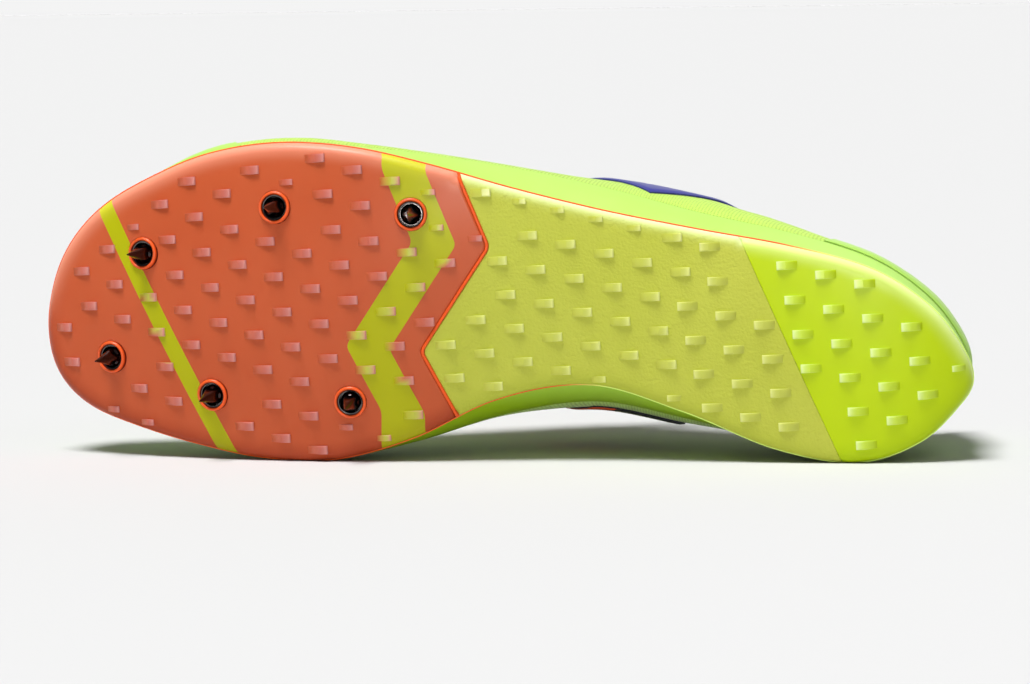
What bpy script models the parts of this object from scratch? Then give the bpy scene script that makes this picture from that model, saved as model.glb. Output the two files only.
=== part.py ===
# Track spike shoe, left foot, lying on its inner side.
# The shoe is modelled standing: +X from heel to toe, +Y towards the outer (lateral) side, +Z up.
# The last function then finds the facet of its hull that it rests on and lays it down.
# Lengths are in metres. "along" is a share of SOLE_LENGTH, counted from the heel.

import math
from collections import namedtuple

import bmesh
import bpy
import numpy as np
from mathutils import Matrix, Vector

# Sizes of the last and the sole
SOLE_LENGTH = 0.283
BALL_WIDTH = 0.0955
TOE_SPRING = 0.0295
EDGE_LIFT = 0.0038
HEEL_STACK = 0.0250
COLLAR_HEIGHT = 0.0820
FOOTBED_DISH = 0.0012
FEATHER_HEEL_INSET = 0.0012
FEATHER_TOE_INSET = 0.0034

# Thicknesses
OUTSOLE_THICKNESS = 0.0022
PLATE_THICKNESS = 0.0012
INSOLE_THICKNESS = 0.0032
INSOLE_BEVEL = 0.0008
UPPER_WALL = 0.0018
COLLAR_PADDING = 0.0024
TONGUE_THICKNESS = 0.0030
OVERLAY_THICKNESS = 0.0006
SEAM_GAP = 0.0003
OVERLAY_GAP = 0.0003
INSOLE_GAP = 0.0005

# Outsole edge and its three fields
EDGE_ROUND = 0.0025
FIELD_GAP = 0.0010

# Tread lugs stand in a slanted lattice. Their ramps fall towards the toe, and behind LUG_REVERSE to the heel.
LUG_LENGTH = 0.0062
LUG_WIDTH = 0.0025
LUG_HEIGHT = 0.0009
LUG_TURN = math.radians(-7)
LUG_MARGIN = 0.0027
LUG_REACH = 30  # lattice steps tried each way
LugRows = namedtuple("LugRows", "start along across")
FRONT_LUGS = LugRows((0.2354, 0.0302), (0.01158, 0.00242), (0.00325, 0.01025))
REAR_LUGS = LugRows((0.0295, -0.0204), (0.01150, 0.00177), (0.00314, 0.00988))
LUG_ROOM = 0.0006
LUG_TOE_DEPTH = 0.0003
LUG_REVERSE = 0.31

# Spikes and their sockets
SPIKE_LENGTH = 0.0090
SPIKE_RADIUS = 0.0023
SPIKE_TIP_RADIUS = 0.0003
SOCKET_RADIUS = 0.0038
SOCKET_WALL = 0.0006
SOCKET_FLOOR = 0.0006
BOSS_WALL = 0.0011
BOSS_HEIGHT = 0.0009
BOSS_CLEARANCE = 0.0003

# Throat, eyelets and lace
THROAT_END = 0.640
THROAT_TOP = 0.392
THROAT_ROUND = 0.034
TONGUE_FRONT = 0.700
TONGUE_ROOT = 0.478
TONGUE_SPREAD = 0.31
TONGUE_LENGTH_ABOVE = 0.0400
TONGUE_TAPER = 0.50
EYELET_ROWS = 5
EYELET_FRONT = 0.612
EYELET_BACK = 0.428
EYELET_RADIUS = 0.0021
EYELET_EDGE = 0.0065
LACE_WIDTH = 0.0060
LACE_THICKNESS = 0.0012
LACE_GAP = 0.0010
LACE_INSIDE_EDGE = 0.050
LACE_FLAT = 0.035

# Films welded onto the upper: how far along the shoe they reach
TOE_BUMPER_START = 0.800
COUNTER_END = 0.160
EYESTAY_BACK = 0.380
EYESTAY_FRONT = 0.672

# How finely the curved forms are divided
STATIONS = 22
WALL_ROWS = 8
BUMPER_ROWS = 3
COUNTER_ROWS = 5
EYESTAY_ROWS = 2
SOLE_STEPS = 4
ROUND_STEPS = 8
TONGUE_STEPS = 5
WELD_DISTANCE = 0.00002

Row = namedtuple("Row", "along lateral medial flare_lateral flare_medial rocker stack")
# lateral, medial: the outsole's edge from the axis, in BALL_WIDTH.
# flare: how far the feather line lies outside that edge, in BALL_WIDTH.
# rocker: height of the sole's underside, in TOE_SPRING. stack: underside to feather line, in HEEL_STACK.
SOLE_ROWS = (
    Row(0.000, 0.000, 0.000, 0.000, 0.000, 0.270, 1.00),
    Row(0.012, 0.095, 0.078, 0.000, 0.005, 0.190, 1.00),
    Row(0.050, 0.225, 0.198, 0.000, 0.004, 0.065, 1.00),
    Row(0.110, 0.325, 0.273, 0.005, 0.002, 0.000, 0.98),
    Row(0.200, 0.378, 0.253, 0.017, 0.012, 0.010, 0.94),
    Row(0.300, 0.407, 0.162, 0.030, 0.056, 0.070, 0.87),
    Row(0.400, 0.441, 0.106, 0.050, 0.082, 0.120, 0.80),
    Row(0.500, 0.491, 0.182, 0.045, 0.070, 0.090, 0.70),
    Row(0.580, 0.541, 0.317, 0.020, 0.025, 0.020, 0.62),
    Row(0.660, 0.576, 0.405, -0.002, 0.005, 0.005, 0.56),
    Row(0.740, 0.572, 0.426, 0.000, -0.010, 0.100, 0.52),
    Row(0.820, 0.516, 0.408, 0.004, -0.015, 0.290, 0.45),
    Row(0.890, 0.413, 0.376, 0.004, -0.020, 0.520, 0.39),
    Row(0.945, 0.297, 0.334, 0.000, -0.020, 0.740, 0.35),
    Row(0.985, 0.135, 0.240, -0.004, -0.010, 0.925, 0.33),
    Row(1.000, -0.074, 0.074, 0.000, 0.000, 1.000, 0.32),
)

Top = namedtuple("Top", "along reach centre half height cut belly_lateral belly_medial rise shoulder drop")
# The top of the upper's wall, station by station: the collar's edge, then the ridge over throat and vamp.
# reach: its place along the sole. centre, half, bellies and shoulder in BALL_WIDTH, height in COLLAR_HEIGHT.
# cut: share of the wall that is left out at the throat.
# rise and drop: reach of the wall's lower and upper curve handles, as shares of the wall's height.
TOP_ROWS = (
    Top(0.000, 0.030, 0.000, 0.000, 1.000, 0.00, 0.012, 0.012, 0.38, 0.030, 0.36),
    Top(0.012, 0.034, 0.004, 0.055, 0.990, 0.00, 0.012, 0.018, 0.38, 0.030, 0.36),
    Top(0.050, 0.053, 0.012, 0.115, 0.935, 0.00, 0.010, 0.024, 0.38, 0.030, 0.34),
    Top(0.110, 0.091, 0.024, 0.170, 0.850, 0.00, 0.010, 0.030, 0.38, 0.035, 0.32),
    Top(0.200, 0.160, 0.050, 0.228, 0.765, 0.00, 0.036, 0.032, 0.38, 0.040, 0.30),
    Top(0.300, 0.262, 0.085, 0.262, 0.830, 0.00, 0.072, 0.088, 0.38, 0.050, 0.28),
    Top(0.350, 0.325, 0.095, 0.235, 0.960, 0.02, 0.062, 0.105, 0.37, 0.080, 0.22),
    Top(0.400, 0.385, 0.105, 0.180, 1.100, 0.10, 0.030, 0.110, 0.36, 0.140, 0.12),
    Top(0.450, 0.432, 0.108, 0.080, 1.145, 0.18, 0.010, 0.108, 0.36, 0.200, 0.03),
    Top(0.500, 0.478, 0.106, 0.000, 1.110, 0.21, 0.005, 0.072, 0.36, 0.235, 0.00),
    Top(0.580, 0.560, 0.098, 0.000, 0.965, 0.22, 0.010, 0.032, 0.38, 0.250, 0.00),
    Top(0.660, 0.640, 0.083, 0.000, 0.820, 0.22, 0.030, 0.020, 0.42, 0.270, 0.00),
    Top(0.740, 0.705, 0.065, 0.000, 0.738, 0.22, 0.050, 0.025, 0.46, 0.285, 0.00),
    Top(0.820, 0.770, 0.040, 0.000, 0.695, 0.22, 0.070, 0.025, 0.48, 0.285, 0.00),
    Top(0.890, 0.824, 0.015, 0.000, 0.672, 0.22, 0.045, 0.025, 0.48, 0.260, 0.00),
    Top(0.945, 0.864, -0.005, 0.000, 0.660, 0.22, 0.025, 0.025, 0.48, 0.220, 0.00),
    Top(0.985, 0.891, -0.020, 0.000, 0.652, 0.22, 0.025, 0.025, 0.48, 0.175, 0.00),
    Top(1.000, 0.900, -0.027, 0.000, 0.649, 0.22, 0.025, 0.025, 0.48, 0.160, 0.00),
)

# Corners of the zigzag between forefoot and waist, and ends of the line between waist and heel:
# (along, share of BALL_WIDTH from the axis), from the lateral edge to the medial one
ZIGZAG = ((0.552, 0.60), (0.551, 0.525), (0.513, 0.304), (0.576, -0.036), (0.535, -0.234), (0.530, -0.60))
HEEL_LINE = ((0.290, 0.60), (0.130, -0.267), (0.0685, -0.60))

# Side panels seen from the side: (along, share of COLLAR_HEIGHT)
OUTER_PANEL = ((0.225, 0.63), (0.355, 0.355), (0.440, 0.69), (0.330, 0.80))
INNER_PANEL = ((0.300, 0.37), (0.400, 0.37), (0.480, 0.74), (0.380, 0.76))

# Spike places: (along, share of BALL_WIDTH from the axis)
SPIKE_PLACES = (
    (0.888, 0.181),
    (0.919, -0.164),
    (0.800, -0.240),
    (0.742, 0.374),
    (0.596, 0.389),
    (0.648, -0.214),
)

# Finishes: base colour, roughness, metallic, and density in kilograms per cubic metre of its class of material
FINISHES = {
    "mesh_lime": ((0.62, 0.92, 0.16), 0.80, 0.0, 300),
    "foam_lime": ((0.55, 0.86, 0.10), 0.60, 0.0, 1100),
    "film_lime": ((0.66, 0.95, 0.20), 0.45, 0.0, 1100),
    "rubber_orange": ((0.80, 0.18, 0.05), 0.35, 0.0, 1100),
    "plate_orange": ((0.90, 0.20, 0.03), 0.40, 0.0, 1100),
    "rubber_pale": ((0.60, 0.62, 0.12), 0.55, 0.0, 1200),
    "rubber_bright": ((0.58, 0.76, 0.02), 0.30, 0.0, 1100),
    "sock_orange": ((0.85, 0.22, 0.08), 0.85, 0.0, 300),
    "film_blue": ((0.05, 0.06, 0.30), 0.45, 0.0, 1100),
    "film_orange": ((0.85, 0.15, 0.04), 0.45, 0.0, 1100),
    "lace_orange": ((0.88, 0.24, 0.08), 0.85, 0.0, 300),
    "steel_bright": ((0.55, 0.55, 0.58), 0.30, 1.0, 7850),
    "steel_dark": ((0.06, 0.03, 0.03), 0.25, 1.0, 7850),
}


def clear_scene():
    for old in list(bpy.data.objects):
        bpy.data.objects.remove(old)


def finish(name):
    found = bpy.data.materials.get(name)
    if found:
        return found
    colour, roughness, metallic, _ = FINISHES[name]
    material = bpy.data.materials.new(name)
    material.use_nodes = True
    shader = material.node_tree.nodes["Principled BSDF"]
    shader.inputs["Base Color"].default_value = (*colour, 1.0)
    shader.inputs["Roughness"].default_value = roughness
    shader.inputs["Metallic"].default_value = metallic
    return material


def add_object(name, points, faces, finish_name=None):
    """A mesh object. Without a finish it is a cutter or helper, which stays out of the build."""
    mesh = bpy.data.meshes.new(name)
    mesh.from_pydata([tuple(point) for point in points], [], [tuple(face) for face in faces])
    work = bmesh.new()
    work.from_mesh(mesh)
    bmesh.ops.remove_doubles(work, verts=work.verts, dist=1e-6)
    bmesh.ops.delete(work, geom=[v for v in work.verts if not v.link_faces], context="VERTS")
    bmesh.ops.recalc_face_normals(work, faces=work.faces)
    bmesh.ops.triangulate(work, faces=work.faces)
    work.to_mesh(mesh)
    work.free()
    mesh.shade_smooth()
    mesh.set_sharp_from_angle(angle=math.radians(35))
    made = bpy.data.objects.new(name, mesh)
    bpy.context.scene.collection.objects.link(made)
    if finish_name:
        mesh.materials.append(finish(finish_name))
    else:
        made.hide_render = True
        made.display_type = "WIRE"
    return made


def weld(target):
    """Closes slivers that cuts leave where two edges nearly meet."""
    modifier = target.modifiers.new("weld", "WELD")
    modifier.merge_threshold = WELD_DISTANCE


def combine(target, other, operation):
    modifier = target.modifiers.new(operation.lower(), "BOOLEAN")
    modifier.operation = operation
    modifier.object = other
    modifier.solver = "EXACT"


class Ring:
    """A smooth function of the angle round the shoe, from values at the stations of a table."""

    def __init__(self, rows, lateral, medial=None, sign=1):
        angles = [math.acos(1 - 2 * row.along) for row in rows]
        outer = [getattr(row, lateral) for row in rows]
        inner = [sign * getattr(row, medial or lateral) for row in rows]
        self.angle = np.array(angles + [2 * math.pi - a for a in angles[-2:0:-1]])
        self.value = np.array(outer + inner[-2:0:-1])
        after = np.roll(self.angle, -1)
        after[-1] += 2 * math.pi
        step = after - self.angle
        slope = (np.roll(self.value, -1) - self.value) / step
        step_before, slope_before = np.roll(step, 1), np.roll(slope, 1)
        self.step = step
        self.tangent = (slope_before * step + slope * step_before) / (step + step_before)

    def __call__(self, angle):
        angle = np.mod(angle, 2 * math.pi)
        i = np.searchsorted(self.angle, angle, side="right") - 1
        j = (i + 1) % len(self.angle)
        step = self.step[i]
        t = (angle - self.angle[i]) / step
        return (
            (2 * t**3 - 3 * t**2 + 1) * self.value[i]
            + (t**3 - 2 * t**2 + t) * step * self.tangent[i]
            + (3 * t**2 - 2 * t**3) * self.value[j]
            + (t**3 - t**2) * step * self.tangent[j]
        )


EDGE = Ring(SOLE_ROWS, "lateral", "medial", -1)
FLARE = Ring(SOLE_ROWS, "flare_lateral", "flare_medial", -1)
ROCKER = Ring(SOLE_ROWS, "rocker")
STACK = Ring(SOLE_ROWS, "stack")
REACH = Ring(TOP_ROWS, "reach")
CENTRE = Ring(TOP_ROWS, "centre")
HALF = Ring(TOP_ROWS, "half")
HEIGHT = Ring(TOP_ROWS, "height")
CUT = Ring(TOP_ROWS, "cut")
BELLY = Ring(TOP_ROWS, "belly_lateral", "belly_medial")
RISE = Ring(TOP_ROWS, "rise")
SHOULDER = Ring(TOP_ROWS, "shoulder")
DROP = Ring(TOP_ROWS, "drop")


def angle_at(x):
    """The lateral angle of the station at x on the outsole."""
    return np.arccos(1 - 2 * np.clip(x / SOLE_LENGTH, 0.0, 1.0))


def angle_of_reach(reach):
    """The lateral angle whose top line lies at that share of the length."""
    angles = np.linspace(0, math.pi, 721)
    return float(np.interp(reach, REACH(angles), angles))


def edge_line(angle):
    """Plan points of the outsole's edge."""
    return np.stack([SOLE_LENGTH * (1 - np.cos(angle)) / 2, BALL_WIDTH * EDGE(angle)], axis=-1)


def feather_line(angle):
    """Plan points of the feather line, where the upper meets the midsole."""
    span = SOLE_LENGTH - FEATHER_HEEL_INSET - FEATHER_TOE_INSET
    x = FEATHER_HEEL_INSET + span * (1 - np.cos(angle)) / 2
    return np.stack([x, BALL_WIDTH * (EDGE(angle) + FLARE(angle))], axis=-1)


def outward(line, angle):
    """Unit plan normals of a closed line, pointing out."""
    step = 1e-3
    along = line(angle + step) - line(angle - step)
    normal = np.stack([-along[..., 1], along[..., 0]], axis=-1)
    return normal / np.linalg.norm(normal, axis=-1, keepdims=True)


def underside(x, y):
    """Height of the sole's underside, lugs left out."""
    angle = angle_at(x)
    middle = BALL_WIDTH * (EDGE(angle) + EDGE(-angle)) / 2
    lift = EDGE_LIFT * ((y - middle) / (BALL_WIDTH / 2)) ** 2
    return TOE_SPRING * ROCKER(angle) + lift


def feather_height(angle):
    return TOE_SPRING * ROCKER(angle) + HEEL_STACK * STACK(angle)


def footbed(x, y):
    """Height of the midsole's dished top."""
    span = SOLE_LENGTH - FEATHER_HEEL_INSET - FEATHER_TOE_INSET
    angle = np.arccos(1 - 2 * np.clip((x - FEATHER_HEEL_INSET) / span, 0.0, 1.0))
    lateral, medial = feather_line(angle)[..., 1], feather_line(-angle)[..., 1]
    half = np.maximum((lateral - medial) / 2, 1e-4)
    across = np.clip((y - (lateral + medial) / 2) / half, -1, 1)
    return feather_height(angle) - FOOTBED_DISH * (1 - across**2)


def top_line(angle):
    """Points of the collar's edge, then of the ridge over the throat and the vamp."""
    side = np.sign(np.sin(angle))
    y = BALL_WIDTH * (CENTRE(angle) + HALF(angle) * side)
    return np.stack([SOLE_LENGTH * REACH(angle), y, COLLAR_HEIGHT * HEIGHT(angle)], axis=-1)


def wall_end(angle):
    """How far up its curve the wall goes: 1 is the collar's edge or the ridge."""
    to_end = np.clip((THROAT_END - REACH(angle)) / THROAT_ROUND, 0, 1)
    return 1 - CUT(angle) * np.sqrt(1 - (1 - to_end) ** 2)


def ridge_slope(angle):
    """Rise of the ridge per length. Near the toe it is read a little behind the tip."""
    inner = np.minimum(math.pi - np.abs(math.pi - np.mod(angle, 2 * math.pi)), math.pi - 0.2)
    step = 1e-3
    rise = COLLAR_HEIGHT * (HEIGHT(inner + step) - HEIGHT(inner - step))
    run = SOLE_LENGTH * (REACH(inner + step) - REACH(inner - step))
    closing = np.clip(1 - HALF(inner) / HALF(angle_at(0.2 * SOLE_LENGTH)), 0, 1)
    closing = np.where(inner > angle_at(0.2 * SOLE_LENGTH), closing, 0)
    return closing * rise / np.where(run == 0, 1, run)


def wall_curve(angle, v):
    """Points of the upper's outer face: v is 0 at the feather line and 1 at the top line."""
    foot = np.concatenate([feather_line(angle), (feather_height(angle) + SEAM_GAP)[..., None]], axis=-1)
    top = top_line(angle)
    normal = outward(feather_line, angle)
    rise = (top[..., 2] - foot[..., 2])[..., None]
    up = np.array([0.0, 0.0, 1.0])
    out = np.concatenate([normal, np.zeros_like(rise)], axis=-1)
    leaning = out + normal[..., :1] * ridge_slope(angle)[..., None] * up
    low = foot + rise * RISE(angle)[..., None] * up + BALL_WIDTH * BELLY(angle)[..., None] * out
    high = top + BALL_WIDTH * SHOULDER(angle)[..., None] * leaning - rise * DROP(angle)[..., None] * up
    v = np.asarray(v)[..., None]
    return (1 - v) ** 3 * foot + 3 * (1 - v) ** 2 * v * low + 3 * (1 - v) * v**2 * high + v**3 * top


def wall(angle, v, lift=0.0):
    """Points that stand lift outside the upper's outer face, or inside it where lift is negative."""
    angle, v = np.broadcast_arrays(np.asarray(angle, float), np.asarray(v, float))
    step = 1e-3
    around = wall_curve(angle + step, v) - wall_curve(angle - step, v)
    v_high, v_low = np.minimum(v + step, 1), np.maximum(v - step, 0)
    rising = wall_curve(angle, v_high) - wall_curve(angle, v_low)
    normal = np.cross(rising, around)
    on_ridge = (v > 1 - 1e-6) & (REACH(angle) > TONGUE_ROOT - 1e-6)
    slope = ridge_slope(angle)
    level = np.stack([-slope, np.zeros_like(slope), np.ones_like(slope)], axis=-1)
    normal = np.where(on_ridge[..., None], level, normal)
    normal /= np.linalg.norm(normal, axis=-1, keepdims=True)
    return wall_curve(angle, v) + normal * np.asarray(lift)[..., None]


def station_angles():
    """Angles round the whole shoe, the same on both sides, with a close group at the throat's end."""
    end = angle_of_reach(THROAT_END)
    close = [end] + [angle_of_reach(THROAT_END - share * THROAT_ROUND) for share in (0.07, 0.30, 0.65)]
    even = np.linspace(0, math.pi, STATIONS + 1)
    apart = 0.45 * math.pi / STATIONS
    kept = [a for a in even if min(abs(a - c) for c in close) > apart or a in (0.0, math.pi)]
    side = sorted(kept + close)
    return np.array(side + [2 * math.pi - a for a in side[-2:0:-1]])


def shell(name, low, high, finish_name, closed=False, mates=None, keep=None):
    """A wall between two grids of points. mates gives the column that each one's last row is joined to.
    keep says which cells of the grid are there, by column and row."""
    columns, rows = low.shape[:2]

    def key(i, j):
        i %= columns
        if mates is not None and j == rows - 1:
            i = mates[i]
        return i * rows + j

    faces, edges = [], {}
    for i in range(columns if closed else columns - 1):
        for j in range(rows - 1):
            if keep is not None and not keep[i, j]:
                continue
            corners = [key(i, j), key(i + 1, j), key(i + 1, j + 1), key(i, j + 1)]
            ring = [c for n, c in enumerate(corners) if c != corners[n - 1]]
            faces.append(ring)
            for n, a in enumerate(ring):
                b = ring[(n + 1) % len(ring)]
                edges.setdefault(frozenset((a, b)), []).append((a, b))
    count = columns * rows
    sides = [found[0] for found in edges.values() if len(found) == 1]
    skin = [[c + count for c in face] for face in faces]
    backing = [face[::-1] for face in faces]
    rims = [[b, a, a + count, b + count] for a, b in sides]
    points = np.concatenate([low.reshape(-1, 3), high.reshape(-1, 3)])
    return add_object(name, points, skin + backing + rims, finish_name)


def ridge_mates(angles):
    """Beyond the throat the two sides of the upper meet on the ridge."""
    count = len(angles)
    joined = REACH(angles) >= THROAT_END - 1e-6
    return [min(i, (count - i) % count) if joined[i] else i for i in range(count)]


def wall_depth(angle, share):
    """Thickness of the upper, thicker where the collar is padded. share runs up to the wall's end."""
    padded = np.sin(math.pi * np.clip((share - 0.55) / 0.45, 0, 1))
    behind = np.clip((THROAT_TOP - REACH(angle)) / 0.08, 0, 1)
    return UPPER_WALL + COLLAR_PADDING * padded * behind


def make_upper(angles):
    share = np.linspace(0, 1, WALL_ROWS + 1)[None, :]
    column = angles[:, None]
    v = wall_end(column) * share
    depth = wall_depth(column, share)
    upper = shell("upper", wall(column, v, -depth), wall(column, v), "mesh_lime", True, ridge_mates(angles))
    combine(upper, eyelet_holes("upper_eyelets"), "DIFFERENCE")


def film(name, angles, keep, finish_name):
    """A thin layer over some cells of the upper's own grid."""
    share = np.linspace(0, 1, WALL_ROWS + 1)[None, :]
    column = angles[:, None]
    v = wall_end(column) * share
    low = wall(column, v, OVERLAY_GAP)
    high = wall(column, v, OVERLAY_GAP + OVERLAY_THICKNESS)
    return shell(name, low, high, finish_name, True, ridge_mates(angles), keep)


def make_films(angles):
    middle = (angles + np.append(angles[1:], 2 * math.pi)) / 2
    along, reach = (1 - np.cos(middle))[:, None] / 2, REACH(middle)[:, None]
    row = np.arange(WALL_ROWS)[None, :]
    bumper = (along > TOE_BUMPER_START) & (row < BUMPER_ROWS)
    film("toe_bumper", angles, bumper, "film_lime")
    counter = (along < COUNTER_END) & (row < COUNTER_ROWS)
    film("heel_counter", angles, counter, "film_lime")
    throat = (reach > EYESTAY_BACK) & (reach < EYESTAY_FRONT)
    eyestay = film("eyestay", angles, throat & (row >= WALL_ROWS - EYESTAY_ROWS), "film_lime")
    combine(eyestay, eyelet_holes("eyestay_eyelets"), "DIFFERENCE")
    below = np.broadcast_to(row < WALL_ROWS - EYESTAY_ROWS, (len(angles), WALL_ROWS))
    outer = film("outer_panel", angles, below & (middle < math.pi)[:, None], "film_blue")
    combine(outer, side_prism("outer_panel_field", OUTER_PANEL), "INTERSECT")
    inner = film("inner_panel", angles, below & (middle > math.pi)[:, None], "film_orange")
    combine(inner, side_prism("inner_panel_field", INNER_PANEL), "INTERSECT")


def eyelets():
    """The (reach, across) of each row of eyelets: across is the share of the wall from the ridge."""
    rows = []
    step = 0.01
    for reach in np.linspace(EYELET_FRONT, EYELET_BACK, EYELET_ROWS):
        angle = angle_of_reach(reach)
        end = wall_end(angle)
        length = np.linalg.norm(wall(angle, end) - wall(angle, end - step)) / step
        rows.append((float(reach), float(1 - end + EYELET_EDGE / length)))
    return rows


def eyelet_holes(name):
    """One cutter for all the eyelets."""
    points, faces = [], []
    sides = 6
    for reach, across in eyelets():
        for side in (1, -1):
            angle = angle_of_reach(reach) * side
            place = Vector(wall(angle, 1 - across, 0.0))
            way = (Vector(wall(angle, 1 - across, 0.001)) - place).normalized()
            turn = Vector((0, 0, 1)).rotation_difference(way).to_matrix()
            base = len(points)
            for depth in (-2 * UPPER_WALL, 2 * UPPER_WALL):
                for k in range(sides):
                    around = 2 * math.pi * k / sides
                    spoke = Vector((math.cos(around), math.sin(around), 0)) * EYELET_RADIUS
                    points.append(tuple(place + turn @ spoke + way * depth))
            faces.append([base + k for k in range(sides)][::-1])
            faces.append([base + sides + k for k in range(sides)])
            for k in range(sides):
                n = (k + 1) % sides
                faces.append([base + k, base + n, base + sides + n, base + sides + k])
    return add_object(name, points, faces)


def tongue_rows():
    """Sections of the tongue's two faces, from its front end to its tip, and the tip's way up."""
    spread = np.linspace(-1, 1, 2 * TONGUE_STEPS + 1)
    under = UPPER_WALL + 2 * SEAM_GAP
    low, high = [], []
    for reach in np.linspace(TONGUE_FRONT, TONGUE_ROOT, TONGUE_STEPS):
        angle = angle_of_reach(reach)
        around = np.where(spread < 0, -angle, angle)
        v = 1 - TONGUE_SPREAD * np.abs(spread)
        high.append(wall(around, v, -under))
        low.append(wall(around, v, -under - TONGUE_THICKNESS))
    middle = TONGUE_STEPS
    way = high[-1][middle] - high[-2][middle]
    way /= np.linalg.norm(way)
    for share in np.linspace(0, 1, TONGUE_STEPS // 2 + 2)[1:]:
        narrow = 1 - TONGUE_TAPER * share
        for rows in (low, high):
            root = rows[TONGUE_STEPS - 1]
            centre = root[middle]
            rows.append(centre + (root - centre) * narrow + way * TONGUE_LENGTH_ABOVE * share)
    return np.array(low), np.array(high)


def make_tongue():
    """It lies under the vamp and the throat's edges, and stands up straight beyond the throat."""
    low, high = tongue_rows()
    shell("tongue", low, high, "mesh_lime")


def on_tongue(high, reach, across):
    """Point of the tongue's face at that x, across from the middle as a share of the wall."""
    middle = TONGUE_STEPS
    x = high[:, middle, 0]
    row = float(np.interp(-SOLE_LENGTH * reach, -x, np.arange(len(x))))
    column = middle + np.clip(across / TONGUE_SPREAD, -1, 1) * TONGUE_STEPS
    r, c = min(int(row), len(x) - 2), min(int(column), 2 * TONGUE_STEPS - 1)
    a, b = row - r, column - c
    before = high[r, c] * (1 - b) + high[r, c + 1] * b
    after = high[r + 1, c] * (1 - b) + high[r + 1, c + 1] * b
    return before * (1 - a) + after * a


def lace_strip(start, end, lift, high):
    """A ribbon from one eyelet to another, over the eyestay, down onto the tongue and up again."""
    over = OVERLAY_GAP + OVERLAY_THICKNESS + LACE_GAP
    sides = (start[1], end[1])
    turns = [0.0]
    for n, sign in ((0, 1), (1, -1)):
        edge = 1 - float(wall_end(angle_of_reach(start[0] if n == 0 else end[0])))
        inside = [edge - LACE_INSIDE_EDGE, LACE_FLAT]
        for across in inside if n == 0 else inside[::-1]:
            turns.append((sides[0] - math.copysign(across, sides[n])) / (sides[0] - sides[1]))
    turns.append(1.0)
    centres, normals = [], []
    for n, t in enumerate(turns):
        reach = start[0] + (end[0] - start[0]) * t
        across = sides[0] + (sides[1] - sides[0]) * t
        angle = angle_of_reach(reach)
        edge = 1 - float(wall_end(angle))
        rims = [wall(turn, 1 - edge, 0.001) - wall(turn, 1 - edge) for turn in (angle, -angle)]
        lean = min(max((across / edge + 1) / 2, 0), 1)
        normal = rims[0] * lean + rims[1] * (1 - lean)
        normal /= np.linalg.norm(normal)
        if n in (2, 3):
            centres.append(on_tongue(high, reach, across) + normal * (LACE_GAP + lift))
        else:
            turn = math.copysign(angle, across)
            centres.append(wall(turn, 1 - abs(across), over) + normal * lift)
        normals.append(normal)
    centres, normals = np.array(centres), np.array(normals)
    along = np.gradient(centres, axis=0)
    along /= np.linalg.norm(along, axis=1, keepdims=True)
    centres[0] -= along[0] * LACE_WIDTH / 2
    centres[-1] += along[-1] * LACE_WIDTH / 2
    across = np.cross(normals, along)
    across *= LACE_WIDTH / 2 / np.linalg.norm(across, axis=1, keepdims=True)
    top = normals * LACE_THICKNESS
    rings = np.stack([centres - across, centres + across, centres + across + top, centres - across + top], 1)
    points = [tuple(p) for p in rings.reshape(-1, 3)]
    last = len(turns) - 1
    faces = [[0, 1, 2, 3], [4 * last + k for k in (3, 2, 1, 0)]]
    for r in range(last):
        for k in range(4):
            n = (k + 1) % 4
            faces.append([4 * r + k, 4 * r + 4 + k, 4 * r + 4 + n, 4 * r + n])
    return points, faces


def make_lace():
    """Crossings from row to row, and a bar across the first, joined to one solid."""
    _, high = tongue_rows()
    rows = eyelets()
    ends = [((rows[0][0], rows[0][1]), (rows[0][0], -rows[0][1]), 0.0)]
    for (reach, across), (next_reach, next_across) in zip(rows, rows[1:]):
        for side, lift in ((1, 0.0), (-1, 0.4 * LACE_THICKNESS)):
            ends.append(((reach, side * across), (next_reach, -side * next_across), lift))
    lace = None
    for n, (start, end, lift) in enumerate(ends):
        points, faces = lace_strip(start, end, lift, high)
        if lace is None:
            lace = add_object("lace", points, faces, "lace_orange")
        else:
            combine(lace, add_object(f"lace_crossing_{n}", points, faces), "UNION")


def slab(name, rings, floor, ceiling, finish_name):
    """A solid between two surfaces, closed round its edge by rings of points, from low to high."""
    count = len(rings[0])
    points, faces = [p for ring in rings for p in ring], []
    for r in range(len(rings) - 1):
        for i in range(count):
            j = (i + 1) % count
            faces.append([r * count + i, r * count + j, (r + 1) * count + j, (r + 1) * count + i])
    half = count // 2
    for start, surface in ((0, floor), ((len(rings) - 1) * count, ceiling)):
        base = len(points)
        for i in range(half + 1):
            a, b = points[start + i], points[start + (count - i) % count]
            for k in range(SOLE_STEPS + 1):
                share = k / SOLE_STEPS
                x, y = a[0] + (b[0] - a[0]) * share, a[1] + (b[1] - a[1]) * share
                on_rim = k in (0, SOLE_STEPS)
                z = (a[2] if k == 0 else b[2]) if on_rim else float(surface(x, y))
                points.append((x, y, z))
        wide = SOLE_STEPS + 1
        for i in range(half):
            for k in range(SOLE_STEPS):
                corner = base + i * wide + k
                faces.append([corner, corner + 1, corner + 1 + wide, corner + wide])
    return add_object(name, points, faces, finish_name)


def edge_ring(angles, inset, height):
    """A ring inside the outsole's edge, height above the underside there."""
    plan = edge_line(angles) - inset * outward(edge_line, angles)
    z = underside(plan[:, 0], plan[:, 1]) + height
    return [tuple(p) for p in np.column_stack([plan, z])]


def outsole_sheet(name, angles):
    rings = [
        edge_ring(angles, EDGE_ROUND, 0.0),
        edge_ring(angles, 0.32 * EDGE_ROUND, 0.30 * OUTSOLE_THICKNESS),
        edge_ring(angles, 0.0, OUTSOLE_THICKNESS),
    ]
    return slab(
        name,
        rings,
        underside,
        lambda x, y: underside(x, y) + OUTSOLE_THICKNESS,
        None,
    )


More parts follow.
